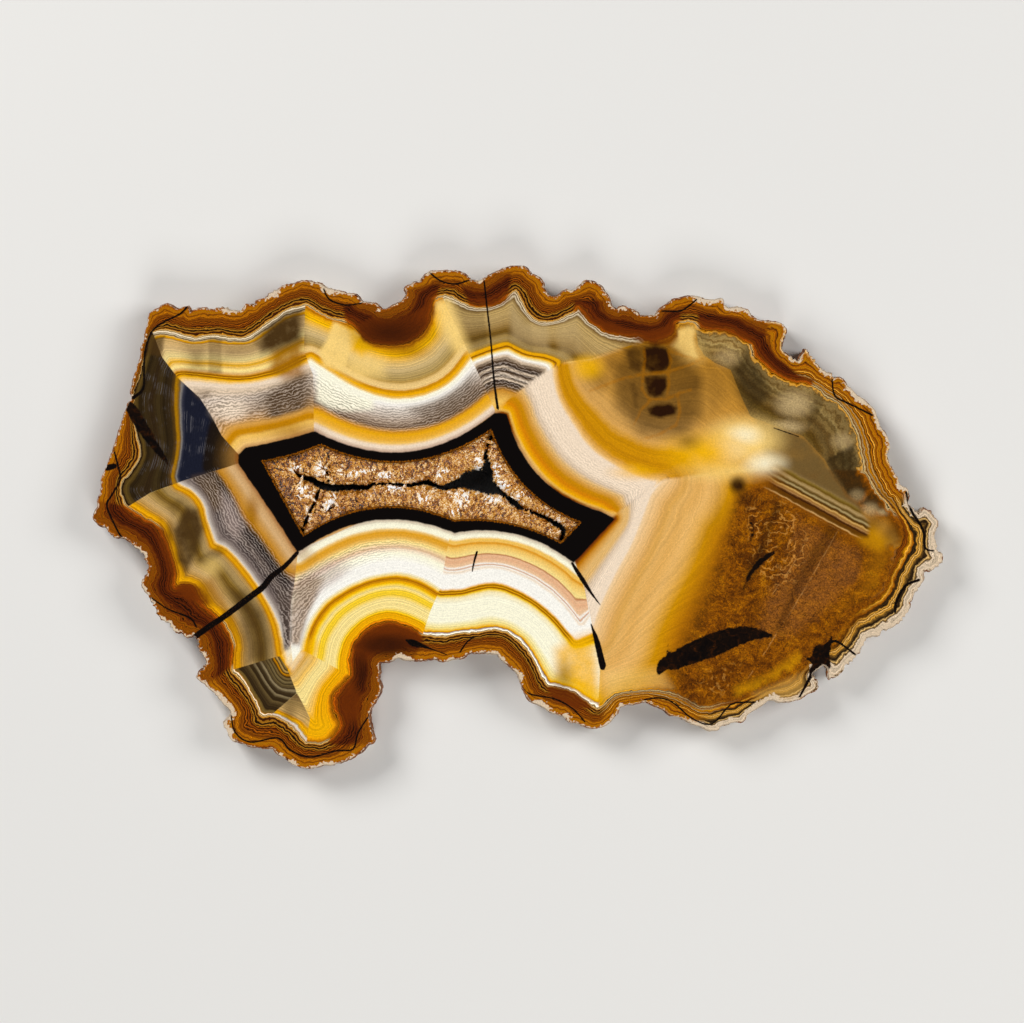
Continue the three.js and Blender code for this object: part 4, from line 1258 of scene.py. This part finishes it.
class Nodes:
    """Short names for building a material's nodes."""

    def __init__(self, name):
        self.material = bpy.data.materials.new(name)
        self.material.use_nodes = True
        self.tree = self.material.node_tree
        self.shader = self.tree.nodes["Principled BSDF"]

    def link(self, value, socket):
        if isinstance(value, bpy.types.NodeSocket):
            self.tree.links.new(value, socket)
        else:
            socket.default_value = value

    def attribute(self, name):
        node = self.tree.nodes.new("ShaderNodeAttribute")
        node.attribute_name = name
        return node.outputs["Fac"]

    def place(self, size):
        """Object coordinates, counted in cells of the given size in millimetres."""
        coord = self.tree.nodes.new("ShaderNodeTexCoord")
        scale = self.tree.nodes.new("ShaderNodeVectorMath")
        scale.operation = "SCALE"
        self.link(coord.outputs["Object"], scale.inputs[0])
        scale.inputs["Scale"].default_value = 1 / (size * MM)
        return scale.outputs[0]

    def math(self, operation, a, b=0.0, c=0.0, clamp=False):
        node = self.tree.nodes.new("ShaderNodeMath")
        node.operation = operation
        node.use_clamp = clamp
        for value, socket in zip((a, b, c), node.inputs):
            self.link(value, socket)
        return node.outputs[0]

    def times(self, a, b, clamp=False):
        return self.math("MULTIPLY", a, b, clamp=clamp)

    def plus(self, a, b):
        return self.math("ADD", a, b)

    def minus(self, a, b):
        return self.math("SUBTRACT", a, b)

    def over(self, a, b):
        return self.math("DIVIDE", a, b)

    def most(self, a, b):
        return self.math("MAXIMUM", a, b)

    def scaled(self, a, factor, offset):
        """a times the factor, plus the offset."""
        return self.math("MULTIPLY_ADD", a, factor, offset)

    def between(self, value, low, high):
        """0 below low, 1 above high and smooth between them."""
        node = self.tree.nodes.new("ShaderNodeMapRange")
        node.interpolation_type = "SMOOTHSTEP"
        self.link(value, node.inputs["Value"])
        node.inputs["From Min"].default_value = low
        node.inputs["From Max"].default_value = high
        return node.outputs["Result"]

    def noise(self, where, detail=2.0, rough=0.5, dimensions="3D", distortion=0.0):
        """Noise from about -1 to 1."""
        node = self.tree.nodes.new("ShaderNodeTexNoise")
        node.noise_dimensions = dimensions
        node.inputs["Scale"].default_value = 1.0
        node.inputs["Detail"].default_value = detail
        node.inputs["Roughness"].default_value = rough
        node.inputs["Distortion"].default_value = distortion
        self.link(where, node.inputs["W" if dimensions == "1D" else "Vector"])
        return self.scaled(node.outputs["Fac"], 2.0, -1.0)

    def ramp(self, value, stops):
        node = self.tree.nodes.new("ShaderNodeValToRGB")
        self.link(value, node.inputs["Fac"])
        elements = node.color_ramp.elements
        while len(elements) > 1:
            elements.remove(elements[-1])
        elements[0].position = stops[0][0]
        elements[0].color = linear(stops[0][1])
        for position, colour in stops[1:]:
            elements.new(position).color = linear(colour)
        return node.outputs["Color"]

    def mix(self, amount, a, b, blend="MIX"):
        node = self.tree.nodes.new("ShaderNodeMix")
        node.data_type = "RGBA"
        node.blend_type = blend
        node.clamp_factor = True
        self.link(amount, node.inputs["Factor"])
        for value, socket in zip((a, b), (node.inputs[6], node.inputs[7])):
            self.link(linear(value) if isinstance(value, tuple) else value, socket)
        return node.outputs[2]

    def lit(self, colour, amount):
        """The colour made brighter or darker by a factor."""
        node = self.tree.nodes.new("ShaderNodeVectorMath")
        node.operation = "SCALE"
        self.link(linear(colour)[:3] if isinstance(colour, tuple) else colour, node.inputs[0])
        self.link(amount, node.inputs["Scale"])
        return node.outputs[0]

    def richer(self, colour, amount):
        """The colour with its saturation multiplied."""
        node = self.tree.nodes.new("ShaderNodeHueSaturation")
        node.inputs["Saturation"].default_value = amount
        self.link(colour, node.inputs["Color"])
        return node.outputs["Color"]

    def bump(self, height, distance, strength=1.0):
        node = self.tree.nodes.new("ShaderNodeBump")
        node.inputs["Distance"].default_value = distance
        node.inputs["Strength"].default_value = strength
        self.link(height, node.inputs["Height"])
        return node.outputs["Normal"]

    def finish(self, colour, roughness, height, distance, strength):
        """Connect the colour, the gloss and the bump, and give back the material."""
        self.link(colour, self.shader.inputs["Base Color"])
        self.link(roughness, self.shader.inputs["Roughness"])
        self.shader.inputs["IOR"].default_value = QUARTZ_IOR
        self.link(self.bump(height, distance, strength), self.shader.inputs["Normal"])
        return self.material


def rind_colour(n, layer):
    """The rind's layers: brown and orange, rusty or pale by place."""
    end = RIND_LAYERS + 2.0
    share = n.over(layer, end)
    rinds = {
        name: n.ramp(share, [(at / end, tone) for at, tone in stops])
        for name, stops in RINDS.items()
    }
    colour = n.mix(n.between(n.attribute("rind_golden"), -5, 5), rinds["layered"], rinds["golden"])
    colour = n.mix(n.between(n.attribute("rind_rusty"), -2.5, 2.5), colour, rinds["rusty"])
    return n.mix(n.between(n.attribute("rind_pale"), -8, 8), colour, rinds["pale"])


def band_colour(n, layer, share):
    """The bands inside the rind, with a jump of tone at every crease."""
    layers = RIND_LAYERS + TAN_LAYERS + WHITE_LAYERS
    colour = None
    for name, stops in SECTORS.items():
        bands = n.ramp(share, [(at / layers, tone) for at, tone in stops])
        if name == "right_side":
            far = n.over(n.attribute("from_white"), float(BEYOND_WIDTH))
            beyond = n.ramp(far, [(at / BEYOND_WIDTH, tone) for at, tone in BEYOND])
            bands = n.mix(n.between(n.attribute("from_white"), -1.5, 1.5), bands, beyond)
        if colour is None:
            colour = bands
        else:
            soft = SOFT_EDGES.get(name, 0.5)
            colour = n.mix(n.between(n.attribute("in_" + name), -soft, soft), colour, bands)
    return colour


def smoky(n, colour):
    """The smoky cells with paler walls in the round amber part."""
    haze = n.scaled(n.noise(n.place(2.0), 2.0), 0.22, 1.0)
    smoke = n.times(n.attribute("is_smoke"), haze, clamp=True)
    colour = n.mix(smoke, colour, SMOKE)
    wall = n.scaled(n.noise(n.place(1.0), 2.0), 1.2, n.attribute("cell_wall"))
    return n.mix(n.times(n.between(wall, -1.8, 0.8), 0.36), colour, (176, 108, 26))


def stripe_colour(n):
    """Straight parallel stripes that run towards the right end."""
    low, high = STRIPES_REACH
    wavy = n.scaled(n.noise(n.place(1.6), 2.0), 1.6, n.attribute("below_slant"))
    share = n.over(n.minus(wavy, float(low)), float(high - low))
    return n.ramp(share, [((at - low) / (high - low), tone) for at, tone in STRIPES])


def grainy(n, colour, speck):
    """The grainy brown part with its veins and nested squiggles."""
    grain = n.attribute("is_grain")
    mottled = n.noise(n.place(2.0), 7.0, 0.8, distortion=0.6)
    tone = n.ramp(
        n.scaled(mottled, 0.5, 0.5),
        [(0.24, (46, 18, 2)), (0.4, (92, 47, 5)), (0.5, (130, 72, 10)), (0.6, (158, 94, 18)),
         (0.76, (206, 146, 60))],
    )
    tone = n.mix(n.attribute("is_pinkish"), tone, (146, 94, 50))
    tone = n.lit(tone, n.scaled(speck, 1.1, 1.0))
    colour = n.mix(grain, colour, tone)
    worms = n.attribute("is_worms")
    swirl = n.scaled(n.noise(n.place(1.7), 2.0, 0.55), 15.0, n.attribute("swirl"))
    nested = n.math("FRACT", n.over(swirl, 8.5))
    dark = n.times(n.between(nested, 0.6, 0.95), n.times(worms, 0.5))
    colour = n.mix(dark, colour, (66, 28, 4))
    line = n.between(n.math("ABSOLUTE", n.minus(nested, 0.5)), 0.16, 0.03)
    broken = n.between(n.noise(n.place(2.4), 1.0), -0.3, 0.0)
    thin = n.times(line, n.times(broken, worms))
    colour = n.mix(n.times(thin, 0.6), colour, (212, 152, 80))
    veins = n.noise(n.place(2.4), 4.0, 0.65, distortion=1.4)
    vein = n.between(n.math("ABSOLUTE", veins), 0.05, 0.0)
    colour = n.mix(n.times(vein, n.times(grain, 0.65)), colour, (50, 22, 4))
    scratch = n.between(n.attribute("pale_line"), -0.7, 0.3)
    return n.mix(n.times(scratch, 0.5), colour, (204, 148, 86))


def fringe(n):
    """Where the rim's thin whitish crust shows, from 0 to 1, broken up and spiky."""
    spikes = n.times(n.noise(n.place(0.45), 2.0, 0.6), 5.5)
    width = n.scaled(n.noise(n.place(5.0), 3.0, 0.6), 13.0, 0.6)
    width = n.plus(width, n.times(n.between(n.attribute("rind_pale"), -8, 8), 1.0))
    width = n.minus(width, n.times(n.between(n.attribute("bare"), -5, 5), 8.0))
    width = n.most(width, 0.0)
    edge = n.minus(n.plus(n.attribute("wall"), spikes), width)
    return n.between(edge, 0.4, -0.6)


def crinkle(n, flat_layer):
    """Fine zigzag lines along the bands, from -1 to 1."""
    fold = n.times(n.noise(n.place(0.5), 1.0), 1.7)
    slow = n.times(n.noise(n.place(1.6), 1.0), 2.4)
    bent = n.plus(flat_layer, n.plus(fold, slow))
    return n.math("SINE", n.times(bent, 2.5))


def left_streaks(n, colour, layer, flat_layer):
    """Pale broken streaks along the dark bands on the left."""
    streak = n.between(n.noise(n.times(layer, 1.7), 1.0, 0.5, "1D"), 0.05, 0.45)
    broken = n.between(n.noise(n.place(2.2), 2.0), -0.05, 0.3)
    streak = n.times(streak, n.times(broken, n.between(flat_layer, 34, 40)))
    streak = n.times(streak, n.between(n.attribute("in_left"), -0.5, 0.5))
    return n.mix(n.times(streak, 0.4), colour, (150, 146, 150))


def dark_marks(n, colour, speck):
    """The black ring, the crust's root round the hollow, the fractures and the inclusions."""
    ring_edge = n.scaled(n.noise(n.place(1.2), 3.0), 1.0, n.attribute("ring"))
    halo = n.times(n.between(ring_edge, 5, 0.5), 0.45)
    colour = n.mix(halo, colour, (130, 56, 6))
    colour = n.mix(n.between(ring_edge, 1.0, -0.6), colour, BLACK)
    root = n.scaled(speck, 1.6, n.attribute("hollow"))
    quartz = n.lit((120, 68, 16), n.scaled(speck, 2.4, 0.9))
    colour = n.mix(n.between(root, -0.3, 0.6), colour, quartz)
    crack = n.scaled(n.noise(n.place(0.5), 3.0), 0.5, n.attribute("crack"))
    stain = n.mix(n.between(speck, 0.1, 0.6), BLACK, (64, 36, 12))
    in_crack = n.between(crack, -0.5, 0.5)
    colour = n.mix(in_crack, colour, stain)
    feather = n.scaled(n.noise(n.place(0.8), 3.0, 0.6), 2.4, n.attribute("inclusion"))
    streaks = n.noise(n.place(1.3), 5.0, 0.75, distortion=1.0)
    dark = n.ramp(n.scaled(streaks, 0.5, 0.5),
                  [(0.4, BLACK), (0.54, (20, 8, 2)), (0.66, (52, 24, 5)), (0.8, (104, 58, 14))])
    return n.mix(n.between(feather, -0.8, 0.8), colour, dark)


def banded_agate():
    """The polished stone: bands by layer, patches, ring and fractures."""
    n = Nodes("banded_agate")
    layers = RIND_LAYERS + TAN_LAYERS + WHITE_LAYERS
    flat_layer = n.attribute("layer")
    lower = n.between(n.attribute("in_bottom_right"), -0.5, 0.5)
    lower = n.times(lower, n.between(n.attribute("in_right_side"), 0.5, -0.5))
    rise = n.minus(n.attribute("low_layer"), flat_layer)
    flat_layer = n.scaled(rise, lower, flat_layer)
    in_rind = n.between(flat_layer, 40, 24)
    wander = n.times(n.noise(n.place(2.6), 3.0, 0.55), n.scaled(in_rind, 2.6, 0.7))
    ripple = n.times(n.noise(n.place(0.8), 2.0, 0.6), n.scaled(in_rind, 1.4, 0.5))
    layer = n.plus(flat_layer, n.plus(wander, ripple))
    share = n.over(layer, float(layers))
    colour = band_colour(n, layer, share)
    colour = n.mix(n.between(layer, 30.3, 29.7), colour, rind_colour(n, layer))

    # fine growth lines, strongest in the rind and in the tan bands
    right = n.most(
        n.between(n.attribute("in_right_arc"), -2, 2), n.between(n.attribute("in_right_side"), -2, 2)
    )
    calm = n.times(n.most(right, lower), n.between(flat_layer, 31, 36))
    lines = n.noise(n.times(layer, 0.9), 3.0, 0.85, "1D")
    strong = n.ramp(share, [(0, (245, 245, 245)), (0.22, (255, 255, 255)),
                            (0.26, (178, 178, 178)), (0.54, (172, 172, 172)),
                            (0.62, (75, 75, 75)), (1, (75, 75, 75))])
    strong = n.times(strong, n.scaled(calm, -0.6, 1.0))
    strong = n.times(strong, n.scaled(in_rind, 1.4, 2.0))
    colour = n.lit(colour, n.scaled(lines, strong, 1.0))

    colour = left_streaks(n, colour, layer, flat_layer)

    # the crinkled white and grey bands
    crinkles = crinkle(n, flat_layer)
    pinched = n.most(n.attribute("is_ash"), n.attribute("is_soot"))
    from_line = n.scaled(pinched, 10.0, flat_layer)
    in_white = n.times(n.between(from_line, 79, 90), n.between(layer, 113, 106))
    wrinkly = n.times(in_white, 1.2, clamp=True)
    navy = n.between(n.attribute("in_left"), -1, 1)
    in_white = n.times(in_white, n.scaled(navy, -0.8, 1.0))
    in_white = n.times(in_white, n.scaled(right, -0.72, 1.0))
    flat_part = n.most(
        n.between(n.attribute("in_bottom"), 22, 50), n.between(n.attribute("in_bottom_right"), -2, 2)
    )
    in_white = n.times(in_white, n.scaled(flat_part, -0.93, 1.0))
    patchy = n.scaled(n.noise(n.place(5.0), 2.0), 0.7, 0.75)
    crinkled = n.times(crinkles, n.times(in_white, patchy))

    # patches
    cloud = n.noise(n.place(3.4), 4.0, 0.6)
    speck = n.noise(n.place(0.22), 2.0, 0.7)
    colour = grainy(n, colour, speck)
    uneven = n.scaled(cloud, 0.35, 1.0)
    inner = n.times(n.between(layer, 29.5, 32), uneven)
    for kind, tone in KINDS.items():
        within = uneven if kind in RIND_KINDS else inner
        amount = n.times(n.attribute("is_" + kind), within, clamp=True)
        if kind in CRINKLED_KINDS:
            amount = n.times(amount, wrinkly)
        colour = n.mix(amount, colour, tone)
    colour = n.lit(colour, n.scaled(crinkled, 0.5, 0.96))
    ridges = n.times(n.between(crinkled, 0.1, 0.9), 0.4)
    colour = n.mix(ridges, colour, (206, 192, 180))
    colour = smoky(n, colour)
    stripe = n.times(n.attribute("is_stripe"), n.between(n.attribute("along_slant"), -10, 24))
    colour = n.mix(stripe, colour, stripe_colour(n))
    in_cells = n.times(n.between(n.attribute("in_cells"), -1, 1), n.between(layer, 30, 34))
    colour = n.lit(colour, n.scaled(speck, n.scaled(in_cells, 0.45, 0.3), 1.0))
    colour = n.mix(fringe(n), colour, n.lit(FRINGE, n.scaled(speck, 0.5, 1.0)))

    colour = dark_marks(n, colour, speck)
    relief = n.plus(crinkled, n.times(speck, n.attribute("is_grain")))
    return n.finish(n.richer(colour, RICHNESS), POLISH, relief, 0.02 * MM, 0.35)


def druse_quartz():
    """The crystals, by the tone of each face."""
    n = Nodes("druse_quartz")
    fine = n.noise(n.place(0.16), 2.0, 0.7)
    tone = n.scaled(fine, 0.8, n.attribute("tone"))
    colour = n.ramp(
        tone,
        [(0, (4, 2, 1)), (0.12, (40, 16, 1)), (0.28, (116, 60, 5)), (0.42, (176, 102, 10)),
         (0.56, (214, 146, 34)), (0.7, (236, 190, 104)), (0.9, (250, 244, 236)),
         (1, (255, 255, 255))],
    )
    # the gap's floor, painted black as painted shade, is made rough so no reflection lightens it
    in_gap = n.between(n.attribute("tone"), -0.3, -0.8)
    return n.finish(colour, n.scaled(in_gap, GAP_DULLNESS, GRAIN_GLOSS), fine, 0.05 * MM, 0.6)


def natural_skin():
    """The rough brown skin round the side."""
    n = Nodes("natural_skin")
    lumps = n.noise(n.place(1.6), 5.0, 0.65)
    pits = n.noise(n.place(0.4), 3.0, 0.7)
    colour = n.ramp(
        n.scaled(lumps, 0.5, 0.5),
        [(0.2, RUST), (0.4, BROWN), (0.55, CARAMEL), (0.68, ORANGE), (0.8, FRINGE)],
    )
    colour = n.mix(fringe(n), colour, FRINGE)
    colour = n.lit(colour, n.scaled(pits, 0.3, 0.9))
    return n.finish(colour, ROUGH_SKIN, n.plus(lumps, pits), 0.25 * MM, 0.8)


def make_camera():
    data = bpy.data.cameras.new("camera")
    camera = bpy.data.objects.new("camera", data)
    bpy.context.collection.objects.link(camera)
    data.lens = LENS
    data.sensor_width = SENSOR
    middle = to_world(np.array([[IMAGE_WIDTH / 2, IMAGE_HEIGHT / 2]]), np.array([FRONT]))[0]
    height = IMAGE_WIDTH * PX * LENS / SENSOR
    camera.location = (middle[0], middle[1], FRONT + height)
    camera.rotation_euler = (0, 0, 0)
    data.clip_start = 0.01
    bpy.context.scene.camera = camera


def make_studio():
    floor_mesh = bpy.data.meshes.new("floor")
    corners = [(x * FLOOR_HALF, y * FLOOR_HALF, 0) for x, y in ((-1, -1), (1, -1), (1, 1), (-1, 1))]
    floor_mesh.from_pydata(corners, [], [(0, 1, 2, 3)])
    floor = bpy.data.objects.new("floor", floor_mesh)
    floor.location.z = BACK - FLOOR_BELOW
    bpy.context.collection.objects.link(floor)
    n = Nodes("floor_paper")
    n.shader.inputs["Base Color"].default_value = linear((226, 224, 220))
    n.shader.inputs["Roughness"].default_value = 0.9
    floor_mesh.materials.append(n.material)

    for name, place, size, power in (
        ("key", (-0.42, 0.36, 0.42), 0.3, 3.5),
        ("fill", (0.52, 0.12, 0.4), 0.34, 2.4),
        ("low", (0.05, -0.54, 0.42), 0.34, 2.2),
    ):
        data = bpy.data.lights.new(name, "AREA")
        data.size = size
        data.energy = power
        light = bpy.data.objects.new(name, data)
        light.location = place
        light.rotation_euler = (-Vector(place)).to_track_quat("-Z", "Y").to_euler()
        bpy.context.collection.objects.link(light)
    world = bpy.data.worlds.new("studio")
    bpy.context.scene.world = world
    world.use_nodes = True
    world.node_tree.nodes["Background"].inputs["Color"].default_value = (0.9, 0.95, 1, 1)
    world.node_tree.nodes["Background"].inputs["Strength"].default_value = 0.06
    bpy.context.scene.view_settings.view_transform = "Standard"


make_camera()
make_studio()
make_slice()
make_crust()
